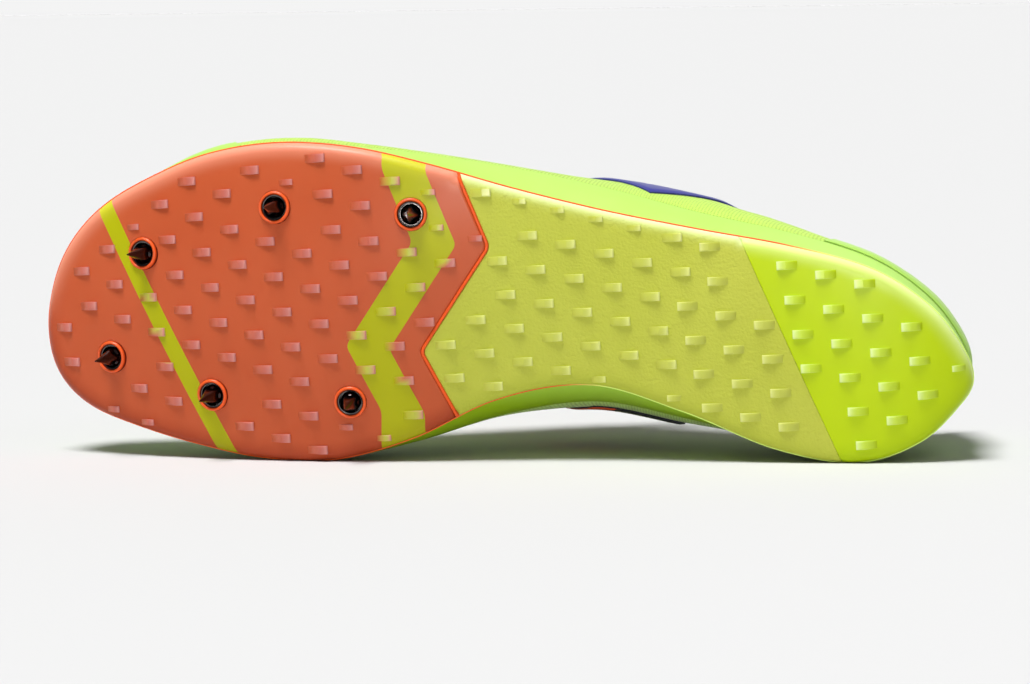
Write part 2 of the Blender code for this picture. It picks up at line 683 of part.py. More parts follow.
def plan_prism(name, outline):
    """A tall helper over a plan outline."""
    low, high = -SOLE_LENGTH, SOLE_LENGTH
    count = len(outline)
    points = [(x, y, low) for x, y in outline] + [(x, y, high) for x, y in outline]
    sides = [[i, (i + 1) % count, count + (i + 1) % count, count + i] for i in range(count)]
    return add_object(name, points, sides + [list(range(count))[::-1], list(range(count, 2 * count))])


def side_prism(name, outline):
    """A wide helper over an outline seen from the side."""
    reach = 2 * BALL_WIDTH
    seen = [(SOLE_LENGTH * along, COLLAR_HEIGHT * height) for along, height in outline]
    count = len(seen)
    points = [(x, y, z) for y in (-reach, reach) for x, z in seen]
    sides = [[i, (i + 1) % count, count + (i + 1) % count, count + i] for i in range(count)]
    return add_object(name, points, sides + [list(range(count))[::-1], list(range(count, 2 * count))])


def line_points(line, shift=0.0):
    return [(SOLE_LENGTH * along + shift, BALL_WIDTH * across) for along, across in line]


def line_x(line, y):
    """Where a dividing line crosses that distance from the axis."""
    points = line_points(line)[::-1]
    return float(np.interp(y, [p[1] for p in points], [p[0] for p in points]))


def field_outline(behind, before):
    """Plan outline between two dividing lines. None stands for the end of the shoe."""
    back, front = [line_points([(along, 0.60), (along, -0.60)]) for along in (-0.07, 1.07)]
    rear = line_points(behind, FIELD_GAP / 2) if behind else back
    fore = line_points(before, -FIELD_GAP / 2) if before else front
    return rear + fore[::-1]


def spike_frames():
    """Each spike's place on the underside, and its way out, square to the surface there."""
    frames = []
    step = 1e-4
    for along, across in SPIKE_PLACES:
        x, y = SOLE_LENGTH * along, BALL_WIDTH * across
        slope_x = float(underside(x + step, y) - underside(x - step, y)) / (2 * step)
        slope_y = float(underside(x, y + step) - underside(x, y - step)) / (2 * step)
        frames.append((Vector((x, y, float(underside(x, y)))), Vector((slope_x, slope_y, -1)).normalized()))
    return frames


def lug_places(rows):
    """Lattice points that lie on the sole, clear of its edge and of the spikes."""
    spikes = [frame[0] for frame in spike_frames()]
    clear = SOCKET_RADIUS + BOSS_WALL + 0.5 * LUG_LENGTH + LUG_ROOM
    places = []
    for i in range(-LUG_REACH, LUG_REACH):
        for j in range(-LUG_REACH, LUG_REACH):
            x = rows.start[0] + i * rows.along[0] + j * rows.across[0]
            y = rows.start[1] + i * rows.along[1] + j * rows.across[1]
            if not 0 < x < SOLE_LENGTH:
                continue
            angle = float(angle_at(x))
            ahead, behind = float(angle_at(x + LUG_LENGTH / 2)), float(angle_at(x - LUG_LENGTH / 2))
            lateral = BALL_WIDTH * min(EDGE(angle), EDGE(ahead), EDGE(behind)) - LUG_MARGIN
            medial = BALL_WIDTH * max(EDGE(-angle), EDGE(-ahead), EDGE(-behind)) + LUG_MARGIN
            end_room = min(x, SOLE_LENGTH - x) > LUG_MARGIN + LUG_LENGTH / 2
            near = min(math.hypot(x - s.x, y - s.y) for s in spikes)
            if medial < y < lateral and end_room and near > clear:
                places.append((x, y))
    return places


def lugs(name, behind, before):
    """The lugs of one field, each a wedge with one steep face and a ramp."""
    room = 0.5 * LUG_LENGTH + LUG_ROOM
    along = np.array([math.cos(LUG_TURN), math.sin(LUG_TURN)]) * LUG_LENGTH / 2
    across = np.array([-math.sin(LUG_TURN), math.cos(LUG_TURN)]) * LUG_WIDTH / 2
    bury = 0.6 * OUTSOLE_THICKNESS
    points, faces = [], []
    for x, y in lug_places(REAR_LUGS if before else FRONT_LUGS):
        if behind and x - room < line_x(behind, y):
            continue
        if before and x + room > line_x(before, y):
            continue
        base = len(points)
        corners = [(-1, -1), (1, -1), (1, 1), (-1, 1)]
        plan = [np.array([x, y]) + a * along + b * across for a, b in corners]
        steep = -1 if x > SOLE_LENGTH * LUG_REVERSE else 1
        for p, (a, _) in zip(plan, corners):
            height = LUG_HEIGHT if a == steep else -LUG_TOE_DEPTH
            points.append((p[0], p[1], float(underside(p[0], p[1])) - height))
        points += [(p[0], p[1], float(underside(p[0], p[1])) + bury) for p in plan]
        quads = [(0, 3, 2, 1), (4, 5, 6, 7), (0, 1, 5, 4), (1, 2, 6, 5), (2, 3, 7, 6), (3, 0, 4, 7)]
        faces += [[base + c for c in quad] for quad in quads]
    return add_object(name, points, faces)


def turned(name, profile, place, way, finish_name=None):
    """A solid of revolution from (radius, depth) points, its axis from place along way."""
    turn = Vector((0, 0, 1)).rotation_difference(way).to_matrix()
    points, faces = [], []
    for radius, depth in profile:
        for k in range(ROUND_STEPS):
            angle = 2 * math.pi * k / ROUND_STEPS
            ring = Vector((radius * math.cos(angle), radius * math.sin(angle), depth))
            points.append(tuple(place + turn @ ring))
    for r in range(len(profile) - 1):
        for k in range(ROUND_STEPS):
            n = (k + 1) % ROUND_STEPS
            row, above = r * ROUND_STEPS, (r + 1) * ROUND_STEPS
            faces.append([row + k, row + n, above + n, above + k])
    last = (len(profile) - 1) * ROUND_STEPS
    faces.append(list(range(ROUND_STEPS))[::-1])
    faces.append([last + k for k in range(ROUND_STEPS)])
    return add_object(name, points, faces, finish_name)


def make_outsoles(angles):
    hole = SOCKET_RADIUS + BOSS_CLEARANCE
    outer = hole + BOSS_WALL
    fields = (
        ("forefoot_outsole", ZIGZAG, None, "rubber_orange"),
        ("waist_outsole", HEEL_LINE, ZIGZAG, "rubber_pale"),
        ("heel_outsole", None, HEEL_LINE, "rubber_bright"),
    )
    for name, behind, before, finish_name in fields:
        piece = outsole_sheet(name, angles)
        piece.hide_render = False
        piece.display_type = "TEXTURED"
        piece.data.materials.append(finish(finish_name))
        combine(piece, plan_prism(name + "_field", field_outline(behind, before)), "INTERSECT")
        combine(piece, lugs(name + "_lugs", behind, before), "UNION")
        if name != "forefoot_outsole":
            continue
        for n, (place, way) in enumerate(spike_frames()):
            boss = [(outer, -0.7 * OUTSOLE_THICKNESS), (outer, BOSS_HEIGHT)]
            combine(piece, turned(f"boss_{n}", boss, place, way), "UNION")
            cut = [(hole, -3 * OUTSOLE_THICKNESS), (hole, 3 * OUTSOLE_THICKNESS)]
            combine(piece, turned(f"boss_hole_{n}", cut, place, way), "DIFFERENCE")
        weld(piece)


def make_plate(angles):
    """The full plate between outsole and midsole. Its rim stands up in the zigzag joint."""
    low = OUTSOLE_THICKNESS + SEAM_GAP
    high = low + PLATE_THICKNESS
    rings = [edge_ring(angles, 0.0, low), edge_ring(angles, 0.0, high)]
    return slab(
        "spike_plate",
        rings,
        lambda x, y: underside(x, y) + low,
        lambda x, y: underside(x, y) + high,
        "plate_orange",
    )


def side_wall(angle, share):
    """Points of the midsole's side, from the plate to the feather line."""
    low = PLATE_THICKNESS + OUTSOLE_THICKNESS + 2 * SEAM_GAP
    edge = edge_line(angle)
    foot = np.column_stack([edge, underside(edge[:, 0], edge[:, 1]) + low])
    feather = feather_line(angle)
    head = np.column_stack([feather, feather_height(angle)])
    handle = foot + (head - foot) * np.array([0.72, 0.72, 0.42])
    return (1 - share) ** 2 * foot + 2 * (1 - share) * share * handle + share**2 * head


def make_midsole(angles):
    low = PLATE_THICKNESS + OUTSOLE_THICKNESS + 2 * SEAM_GAP
    rings = [[tuple(p) for p in side_wall(angles, share)] for share in (0, 0.35, 0.7, 1.0)]
    return slab("midsole", rings, lambda x, y: underside(x, y) + low, footbed, "foam_lime")


def insole_ring(angles, inset, height):
    plan = feather_line(angles) - inset * outward(feather_line, angles)
    z = footbed(plan[:, 0], plan[:, 1]) + height
    return [tuple(p) for p in np.column_stack([plan, z])]


def make_insole(angles):
    inset = UPPER_WALL + 2 * SEAM_GAP
    low, high = INSOLE_GAP, INSOLE_GAP + INSOLE_THICKNESS
    rings = [insole_ring(angles, inset, low), insole_ring(angles, inset + INSOLE_BEVEL, high)]
    return slab(
        "insole",
        rings,
        lambda x, y: footbed(x, y) + low,
        lambda x, y: footbed(x, y) + high,
        "sock_orange",
    )


def make_spikes():
    for n, (place, way) in enumerate(spike_frames(), start=1):
        back = -OUTSOLE_THICKNESS
        floor = back + SOCKET_FLOOR
        inner = SOCKET_RADIUS - SOCKET_WALL
        socket = [(SOCKET_RADIUS, back), (SOCKET_RADIUS, 0.0), (inner, 0.0), (inner, floor)]
        turned(f"socket_{n}", socket, place, way, "steel_bright")
        base = inner - SEAM_GAP
        spike = [(base, floor + SEAM_GAP), (SPIKE_RADIUS, 0.2 * floor), (SPIKE_TIP_RADIUS, SPIKE_LENGTH)]
        turned(f"spike_{n}", spike, place, way, "steel_dark")


def lay_down():
    """Turns the standing shoe onto its inner side, down on the hull facet under its centre of mass."""
    bpy.context.view_layer.update()
    graph = bpy.context.evaluated_depsgraph_get()
    parts = [o for o in bpy.context.scene.objects if not o.hide_render]
    hull, mass, moment = bmesh.new(), 0.0, Vector()
    for part in parts:
        work = bmesh.new()
        work.from_mesh(part.evaluated_get(graph).to_mesh())
        bmesh.ops.triangulate(work, faces=work.faces)
        density = FINISHES[part.data.materials[0].name][3]
        for face in work.faces:
            a, b, c = (v.co for v in face.verts)
            weight = density * a.dot(b.cross(c)) / 6
            mass += weight
            moment += weight * (a + b + c) / 4
        for vert in work.verts:
            hull.verts.new(vert.co)
        work.free()
    centre = moment / mass
    made = bmesh.ops.convex_hull(hull, input=hull.verts)
    spare = {g for g in made["geom_interior"] + made["geom_unused"] if isinstance(g, bmesh.types.BMVert)}
    bmesh.ops.delete(hull, geom=list(spare), context="VERTS")
    bmesh.ops.recalc_face_normals(hull, faces=hull.faces)
    medial = Vector((0, -1, 0))

    def holds(face):
        """True where the centre of mass stands over this facet."""
        normal = face.normal
        inside = [
            (loop.link_loop_next.vert.co - loop.vert.co).cross(centre - loop.vert.co).dot(normal) > 0
            for loop in face.loops
        ]
        return all(inside)

    under = max((f for f in hull.faces if holds(f)), key=lambda f: f.normal.dot(medial))
    side = Matrix(((-1, 0, 0), (0, 0, 1), (0, 1, 0)))
    level = (side @ under.normal).rotation_difference(Vector((0, 0, -1))).to_matrix()
    turn = level @ side
    toe = turn @ Vector((1, 0, 0))
    square = Matrix.Rotation(math.pi - math.atan2(toe.y, toe.x), 3, "Z")
    turn = square @ turn
    corners = [turn @ v.co for v in hull.verts]
    hull.free()
    low = Vector([min(c[k] for c in corners) for k in range(3)])
    high = Vector([max(c[k] for c in corners) for k in range(3)])
    lift = Vector(((low.x + high.x) / 2, (low.y + high.y) / 2, low.z))
    stand = bpy.data.objects.new("shoe", None)
    bpy.context.scene.collection.objects.link(stand)
    for part in [o for o in bpy.context.scene.objects if o is not stand]:
        part.parent = stand
    stand.matrix_world = Matrix.Translation(-lift) @ turn.to_4x4()


def main():
    clear_scene()
    angles = station_angles()
    make_upper(angles)
    make_midsole(angles)
    make_plate(angles)
    make_outsoles(angles)
    make_insole(angles)
    make_tongue()
    make_films(angles)
    make_lace()
    make_spikes()
    lay_down()


main()
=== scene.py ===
# Track spike shoe, left foot, lying on its inner side: fine forms, finishes, camera and light.
# Forms are worked out standing, in metres: +X heel to toe, +Y outer side, +Z up. The sockets say how it lies.

import math

import bmesh
import bpy
import numpy as np
from mathutils import Matrix, Vector
from mathutils.geometry import delaunay_2d_cdt


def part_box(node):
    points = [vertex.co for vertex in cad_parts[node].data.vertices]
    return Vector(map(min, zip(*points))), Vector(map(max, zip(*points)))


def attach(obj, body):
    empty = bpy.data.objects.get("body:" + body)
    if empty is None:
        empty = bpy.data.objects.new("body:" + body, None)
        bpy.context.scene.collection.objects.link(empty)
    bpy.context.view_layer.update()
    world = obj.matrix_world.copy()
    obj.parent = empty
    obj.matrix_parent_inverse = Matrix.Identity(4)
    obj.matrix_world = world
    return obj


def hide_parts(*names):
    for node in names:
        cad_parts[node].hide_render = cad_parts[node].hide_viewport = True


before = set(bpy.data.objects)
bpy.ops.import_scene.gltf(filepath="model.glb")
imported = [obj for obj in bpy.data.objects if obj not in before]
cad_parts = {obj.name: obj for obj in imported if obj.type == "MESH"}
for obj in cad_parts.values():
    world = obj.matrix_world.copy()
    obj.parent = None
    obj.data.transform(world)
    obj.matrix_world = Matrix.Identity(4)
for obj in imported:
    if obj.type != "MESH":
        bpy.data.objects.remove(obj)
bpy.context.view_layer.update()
print("frame loaded:", len(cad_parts), "nodes")

mm = 0.001

# The last and the sole, as in the CAD
last = {
    "length": 0.283, "ball": 0.0955, "toeSpring": 0.0295, "edgeLift": 0.0038, "heelStack": 0.0250,
    "collar": 0.0820, "dish": 0.0012, "heelInset": 0.0012, "toeInset": 0.0034,
}
layers = {
    "outsole": 0.0022, "plate": 0.0012, "insole": 0.0032, "upper": 0.0018, "padding": 0.0024,
    "tongue": 0.0030, "film": 0.0006, "seam": 0.0003, "filmGap": 0.0003, "insoleGap": 0.0005,
}
throat = {
    "end": 0.640, "top": 0.392, "round": 0.034, "eyeletRows": 5, "eyeletFront": 0.612, "eyeletBack": 0.428,
    "eyeletRadius": 0.0021, "eyeletEdge": 0.0065,
}


def table(columns, rows):
    return dict(zip(columns.split(), np.array(rows).T))


def unit(vectors):
    return vectors / np.linalg.norm(vectors, axis=-1, keepdims=True)


def cubic(t, step, start, startSlope, end, endSlope):
    return (
        (2 * t**3 - 3 * t**2 + 1) * start
        + (t**3 - 2 * t**2 + t) * step * startSlope
        + (3 * t**2 - 2 * t**3) * end
        + (t**3 - t**2) * step * endSlope
    )


def runOf(line):
    # the length of a line up to each of its points
    return np.concatenate([[0], np.cumsum(np.linalg.norm(np.diff(line, axis=0), axis=1))])


def readOff(at, run, values):
    # rows of values at given lengths along a line
    return np.stack([np.interp(at, run, column) for column in np.transpose(values)], axis=-1)


def faded(value, start, end):
    # 0 up to start and 1 from end on
    return np.clip((value - start) / (end - start), 0, 1)


# Shares along the sole, of the ball's width, of the toe spring and of the heel's stack
soleRows = table("along lateral medial flareLateral flareMedial rocker stack", (
    (0.000, 0.000, 0.000, 0.000, 0.000, 0.270, 1.00),
    (0.012, 0.095, 0.078, 0.000, 0.005, 0.190, 1.00),
    (0.050, 0.225, 0.198, 0.000, 0.004, 0.065, 1.00),
    (0.110, 0.325, 0.273, 0.005, 0.002, 0.000, 0.98),
    (0.200, 0.378, 0.253, 0.017, 0.012, 0.010, 0.94),
    (0.300, 0.407, 0.162, 0.030, 0.056, 0.070, 0.87),
    (0.400, 0.441, 0.106, 0.050, 0.082, 0.120, 0.80),
    (0.500, 0.491, 0.182, 0.045, 0.070, 0.090, 0.70),
    (0.580, 0.541, 0.317, 0.020, 0.025, 0.020, 0.62),
    (0.660, 0.576, 0.405, -0.002, 0.005, 0.005, 0.56),
    (0.740, 0.572, 0.426, 0.000, -0.010, 0.100, 0.52),
    (0.820, 0.516, 0.408, 0.004, -0.015, 0.290, 0.45),
    (0.890, 0.413, 0.376, 0.004, -0.020, 0.520, 0.39),
    (0.945, 0.297, 0.334, 0.000, -0.020, 0.740, 0.35),
    (0.985, 0.135, 0.240, -0.004, -0.010, 0.925, 0.33),
    (1.000, -0.074, 0.074, 0.000, 0.000, 1.000, 0.32),
))
topRows = table("along reach centre half height cut bellyLateral bellyMedial rise shoulder drop", (
    (0.000, 0.030, 0.000, 0.000, 1.000, 0.00, 0.012, 0.012, 0.38, 0.030, 0.36),
    (0.012, 0.034, 0.004, 0.055, 0.990, 0.00, 0.012, 0.018, 0.38, 0.030, 0.36),
    (0.050, 0.053, 0.012, 0.115, 0.935, 0.00, 0.010, 0.024, 0.38, 0.030, 0.34),
    (0.110, 0.091, 0.024, 0.170, 0.850, 0.00, 0.010, 0.030, 0.38, 0.035, 0.32),
    (0.200, 0.160, 0.050, 0.228, 0.765, 0.00, 0.036, 0.032, 0.38, 0.040, 0.30),
    (0.300, 0.262, 0.085, 0.262, 0.830, 0.00, 0.072, 0.088, 0.38, 0.050, 0.28),
    (0.350, 0.325, 0.095, 0.235, 0.960, 0.02, 0.062, 0.105, 0.37, 0.080, 0.22),
    (0.400, 0.385, 0.105, 0.180, 1.100, 0.10, 0.030, 0.110, 0.36, 0.140, 0.12),
    (0.450, 0.432, 0.108, 0.080, 1.145, 0.18, 0.010, 0.108, 0.36, 0.200, 0.03),
    (0.500, 0.478, 0.106, 0.000, 1.110, 0.21, 0.005, 0.072, 0.36, 0.235, 0.00),
    (0.580, 0.560, 0.098, 0.000, 0.965, 0.22, 0.010, 0.032, 0.38, 0.250, 0.00),
    (0.660, 0.640, 0.083, 0.000, 0.820, 0.22, 0.030, 0.020, 0.42, 0.270, 0.00),
    (0.740, 0.705, 0.065, 0.000, 0.738, 0.22, 0.050, 0.025, 0.46, 0.285, 0.00),
    (0.820, 0.770, 0.040, 0.000, 0.695, 0.22, 0.070, 0.025, 0.48, 0.285, 0.00),
    (0.890, 0.824, 0.015, 0.000, 0.672, 0.22, 0.045, 0.025, 0.48, 0.260, 0.00),
    (0.945, 0.864, -0.005, 0.000, 0.660, 0.22, 0.025, 0.025, 0.48, 0.220, 0.00),
    (0.985, 0.891, -0.020, 0.000, 0.652, 0.22, 0.025, 0.025, 0.48, 0.175, 0.00),
    (1.000, 0.900, -0.027, 0.000, 0.649, 0.22, 0.025, 0.025, 0.48, 0.160, 0.00),
))

# Plan lines over the sole, (along, share of the ball's width), from the outer edge to the inner one
zigzag = ((0.552, 0.60), (0.551, 0.525), (0.513, 0.304), (0.576, -0.036), (0.535, -0.234), (0.530, -0.60))
heelLine = ((0.290, 0.60), (0.130, -0.267), (0.0685, -0.60))
spikePlaces = (
    (0.888, 0.181), (0.919, -0.164), (0.800, -0.240), (0.742, 0.374), (0.596, 0.389), (0.648, -0.214),
)
planScale = np.array([last["length"], last["ball"]])


def aroundShoe(rows, outer, inner=None, sign=1):
    # a smooth function of the angle round the shoe: 0 at the heel, pi at the toe, the outer side first
    half = np.arccos(1 - 2 * rows["along"])
    angles = np.concatenate([half, 2 * math.pi - half[-2:0:-1]])
    values = np.concatenate([rows[outer], sign * rows[inner or outer][-2:0:-1]])
    step = np.append(angles[1:], 2 * math.pi) - angles
    slope = (np.roll(values, -1) - values) / step
    stepBefore, slopeBefore = np.roll(step, 1), np.roll(slope, 1)
    tangent = (slopeBefore * step + slope * stepBefore) / (step + stepBefore)

    def value(angle):
        angle = np.mod(angle, 2 * math.pi)
        i = np.searchsorted(angles, angle, side="right") - 1
        j = (i + 1) % len(angles)
        t = (angle - angles[i]) / step[i]
        return cubic(t, step[i], values[i], tangent[i], values[j], tangent[j])

    return value


edgeAt = aroundShoe(soleRows, "lateral", "medial", -1)
flareAt = aroundShoe(soleRows, "flareLateral", "flareMedial", -1)
rockerAt = aroundShoe(soleRows, "rocker")
stackAt = aroundShoe(soleRows, "stack")
reachAt = aroundShoe(topRows, "reach")
centreAt = aroundShoe(topRows, "centre")
halfAt = aroundShoe(topRows, "half")
heightAt = aroundShoe(topRows, "height")
cutAt = aroundShoe(topRows, "cut")
bellyAt = aroundShoe(topRows, "bellyLateral", "bellyMedial")
riseAt = aroundShoe(topRows, "rise")
shoulderAt = aroundShoe(topRows, "shoulder")
dropAt = aroundShoe(topRows, "drop")


def stationAngle(x):
    return np.arccos(1 - 2 * np.clip(np.asarray(x) / last["length"], 0.0, 1.0))


def angleOfReach(reach):
    angles = np.linspace(0, math.pi, 721)
    return float(np.interp(reach, reachAt(angles), angles))


def edgeLine(angle):
    return np.stack([last["length"] * (1 - np.cos(angle)) / 2, last["ball"] * edgeAt(angle)], axis=-1)


def featherLine(angle):
    span = last["length"] - last["heelInset"] - last["toeInset"]
    x = last["heelInset"] + span * (1 - np.cos(angle)) / 2
    return np.stack([x, last["ball"] * (edgeAt(angle) + flareAt(angle))], axis=-1)


def outwardOf(line, angle):
    along = line(angle + 1e-3) - line(angle - 1e-3)
    return unit(np.stack([-along[..., 1], along[..., 0]], axis=-1))


def underside(x, y):
    angle = stationAngle(x)
    middle = last["ball"] * (edgeAt(angle) + edgeAt(-angle)) / 2
    lift = last["edgeLift"] * ((y - middle) / (last["ball"] / 2)) ** 2
    return last["toeSpring"] * rockerAt(angle) + lift


def featherHeight(angle):
    return last["toeSpring"] * rockerAt(angle) + last["heelStack"] * stackAt(angle)


def footbed(x, y):
    span = last["length"] - last["heelInset"] - last["toeInset"]
    angle = np.arccos(1 - 2 * np.clip((x - last["heelInset"]) / span, 0.0, 1.0))
    lateral, medial = featherLine(angle)[..., 1], featherLine(-angle)[..., 1]
    half = np.maximum((lateral - medial) / 2, 1e-4)
    across = np.clip((y - (lateral + medial) / 2) / half, -1, 1)
    return featherHeight(angle) - last["dish"] * (1 - across**2)


def wallEnd(angle):
    toEnd = np.clip((throat["end"] - reachAt(angle)) / throat["round"], 0, 1)
    return 1 - cutAt(angle) * np.sqrt(1 - (1 - toEnd) ** 2)


def ridgeSlope(angle):
    inner = np.minimum(math.pi - np.abs(math.pi - np.mod(angle, 2 * math.pi)), math.pi - 0.2)
    rise = last["collar"] * (heightAt(inner + 1e-3) - heightAt(inner - 1e-3))
    run = last["length"] * (reachAt(inner + 1e-3) - reachAt(inner - 1e-3))
    heelAngle = stationAngle(0.2 * last["length"])
    closing = np.clip(1 - halfAt(inner) / halfAt(heelAngle), 0, 1)
    closing = np.where(inner > heelAngle, closing, 0)
    return closing * rise / np.where(run == 0, 1, run)


def wallCurve(angle, v):
    # the upper's outer face: v is 0 at the feather line and 1 at the collar's edge or the ridge
    foot = np.concatenate([featherLine(angle), (featherHeight(angle) + layers["seam"])[..., None]], axis=-1)
    side = np.sign(np.sin(angle))
    y = last["ball"] * (centreAt(angle) + halfAt(angle) * side)
    top = np.stack([last["length"] * reachAt(angle), y, last["collar"] * heightAt(angle)], axis=-1)
    normal = outwardOf(featherLine, angle)
    rise = (top[..., 2] - foot[..., 2])[..., None]
    up = np.array([0.0, 0.0, 1.0])
    out = np.concatenate([normal, np.zeros_like(rise)], axis=-1)
    leaning = out + normal[..., :1] * ridgeSlope(angle)[..., None] * up
    low = foot + rise * riseAt(angle)[..., None] * up + last["ball"] * bellyAt(angle)[..., None] * out
    high = top + last["ball"] * shoulderAt(angle)[..., None] * leaning - rise * dropAt(angle)[..., None] * up
    v = np.asarray(v)[..., None]
    return (1 - v) ** 3 * foot + 3 * (1 - v) ** 2 * v * low + 3 * (1 - v) * v**2 * high + v**3 * top


def wall(angle, v, lift=0.0):
    # points that stand lift outside the upper's outer face
    angle, v = np.broadcast_arrays(np.asarray(angle, float), np.asarray(v, float))
    around = wallCurve(angle + 1e-3, v) - wallCurve(angle - 1e-3, v)
    rising = wallCurve(angle, np.minimum(v + 1e-3, 1)) - wallCurve(angle, np.maximum(v - 1e-3, 0))
    normal = np.cross(rising, around)
    onRidge = (v > 1 - 1e-6) & (reachAt(angle) > 0.478 - 1e-6)
    slope = ridgeSlope(angle)
    level = np.stack([-slope, np.zeros_like(slope), np.ones_like(slope)], axis=-1)
    normal = unit(np.where(onRidge[..., None], level, normal))
    return wallCurve(angle, v) + normal * np.asarray(lift)[..., None]


def soleFrame(x, y):
    # the place on the underside at a point of the plan, and the way out of the sole there
    step = 1e-4
    slopeX = float(underside(x + step, y) - underside(x - step, y)) / (2 * step)
    slopeY = float(underside(x, y + step) - underside(x, y - step)) / (2 * step)
    return Vector((x, y, float(underside(x, y)))), Vector((slopeX, slopeY, -1)).normalized()


spikeFrames = [soleFrame(x, y) for x, y in np.array(spikePlaces) * planScale]


def layDown():
    # the rigid move that takes the standing sockets to the sockets of the frame
    standing, lying = [], []
    for n, (at, way) in enumerate(spikeFrames, start=1):
        low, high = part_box(f"socket_{n}")
        standing.append(at - way * layers["outsole"] / 2)
        lying.append((Vector(low) + Vector(high)) / 2)
    standing, lying = np.array(standing), np.array(lying)
    a, b = standing.mean(axis=0), lying.mean(axis=0)
    u, _, vt = np.linalg.svd((standing - a).T @ (lying - b))
    flip = np.diag([1, 1, np.sign(np.linalg.det(vt.T @ u.T))])
    turn = vt.T @ flip @ u.T
    miss = np.abs((standing - a) @ turn.T + b - lying).max()
    print(f"laid down with the sockets, within {miss * 1000:.4f} mm")
    return turn, b - turn @ a


layTurn, layMove = layDown()


def laid(points):
    return np.asarray(points, float) @ layTurn.T + layMove


# Making meshes

def inScene(name, data):
    made = bpy.data.objects.new(name, data)
    bpy.context.scene.collection.objects.link(made)
    return made


def mendNormals(mesh, weld=0.0):
    work = bmesh.new()
    work.from_mesh(mesh)
    if weld:
        bmesh.ops.remove_doubles(work, verts=work.verts, dist=weld)
        bmesh.ops.dissolve_degenerate(work, edges=work.edges, dist=1e-7)
    bmesh.ops.recalc_face_normals(work, faces=work.faces)
    work.to_mesh(mesh)
    work.free()


def newPiece(name, points, faces, materials, sharp=40, marks=None, uv=None, indices=None):
    # marks: values at the points that a finish reads. uv: metres along the surface, at the points.
    mesh = bpy.data.meshes.new(name)
    mesh.from_pydata(laid(points).tolist(), [], [list(map(int, face)) for face in faces])
    for material in materials:
        mesh.materials.append(material)
    for mark, values in (marks or {}).items():
        layer = mesh.attributes.new(mark, "FLOAT", "POINT")
        layer.data.foreach_set("value", np.asarray(values, np.float32).ravel())
    if uv is not None:
        loops = np.empty(len(mesh.loops), np.int32)
        mesh.loops.foreach_get("vertex_index", loops)
        layer = mesh.uv_layers.new(name="surface")
        layer.data.foreach_set("uv", np.asarray(uv, np.float32)[loops].ravel())
    if indices is not None:
        mesh.polygons.foreach_set("material_index", np.asarray(indices, np.int32))
    mendNormals(mesh, 2e-6)
    mesh.shade_smooth()
    mesh.set_sharp_from_angle(angle=math.radians(sharp))
    return inScene(name, mesh)


def place(piece, slot, *nodes):
    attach(piece, "root")
    if nodes:
        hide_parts(*nodes)
    return piece


def applied(piece):
    # the piece as its modifiers leave it, as a plain mesh
    graph = bpy.context.evaluated_depsgraph_get()
    mesh = bpy.data.meshes.new_from_object(piece.evaluated_get(graph))
    piece.modifiers.clear()
    piece.data = mesh
    return piece


def gridFaces(columns, rows, closed=False, start=0):
    faces = []
    for i in range(columns if closed else columns - 1):
        j = (i + 1) % columns
        for k in range(rows - 1):
            a, b = start + i * rows + k, start + j * rows + k
            faces.append((a, b, b + 1, a + 1))
    return faces


def sheetFaces(columns, rows):
    # a thin sheet: a grid of points, the same grid again as its back, and the edge between them
    size, end = columns * rows, (columns - 1) * rows
    faces = gridFaces(columns, rows)
    faces += [tuple(k + size for k in face[::-1]) for face in faces]
    edge = [(k, k + 1) for k in range(rows - 1)]
    edge += [(end + k + 1, end + k) for k in range(rows - 1)]
    edge += [((k + 1) * rows, k * rows) for k in range(columns - 1)]
    edge += [(k * rows + rows - 1, (k + 1) * rows + rows - 1) for k in range(columns - 1)]
    return faces + [(b, a, a + size, b + size) for a, b in edge]


def tubeFaces(rings, count, capped=False):
    faces = []
    for r in range(rings - 1):
        for k in range(count):
            n = (k + 1) % count
            faces.append((r * count + k, r * count + n, (r + 1) * count + n, (r + 1) * count + k))
    if capped:
        faces += [tuple(range(count))[::-1], tuple(range((rings - 1) * count, rings * count))]
    return faces


def sweep(centres, ups, section):
    # carries a section of (across, up) points along a line; section may differ from place to place
    along = unit(np.gradient(centres, axis=0))
    across = unit(np.cross(ups, along))
    over = np.cross(along, across)
    section = np.broadcast_to(section, (len(centres),) + np.shape(section)[-2:])
    rings = centres[:, None] + across[:, None] * section[..., :1] + over[:, None] * section[..., 1:]
    return rings.reshape(-1, 3), tubeFaces(len(centres), section.shape[1], True)


def joined(parts):
    # several (points, faces) as one
    points, faces, start = [], [], 0
    for some, ring in parts:
        points.append(np.asarray(some))
        faces += [tuple(start + k for k in face) for face in ring]
        start += len(some)
    return np.concatenate(points), faces


def turned(profile, centre, way, steps, spin=0.0):
    # a solid round an axis from (radius, depth) rows; a third value above 2 makes a section squarer
    turn = np.array(Vector((0, 0, 1)).rotation_difference(way).to_matrix())
    angles = np.arange(steps) * 2 * math.pi / steps
    c, s = np.abs(np.cos(angles)), np.abs(np.sin(angles))
    points = []
    for radius, depth, *square in profile:
        power = square[0] if square else 2.0
        reach = radius * (c**power + s**power) ** (-1 / power)
        ring = [reach * np.cos(angles + spin), reach * np.sin(angles + spin), np.full(steps, depth)]
        points.append(np.stack(ring, axis=-1) @ turn.T + np.array(centre))
    return np.concatenate(points), tubeFaces(len(profile), steps)


# Finishes

def linear(hexColour):
    parts = [int(hexColour[k:k + 2], 16) / 255 for k in (1, 3, 5)]
    return tuple(c / 12.92 if c <= 0.04045 else ((c + 0.055) / 1.055) ** 2.4 for c in parts) + (1.0,)


def dimmed(hexColour, share):
    return tuple(c * share for c in linear(hexColour)[:3]) + (1.0,)


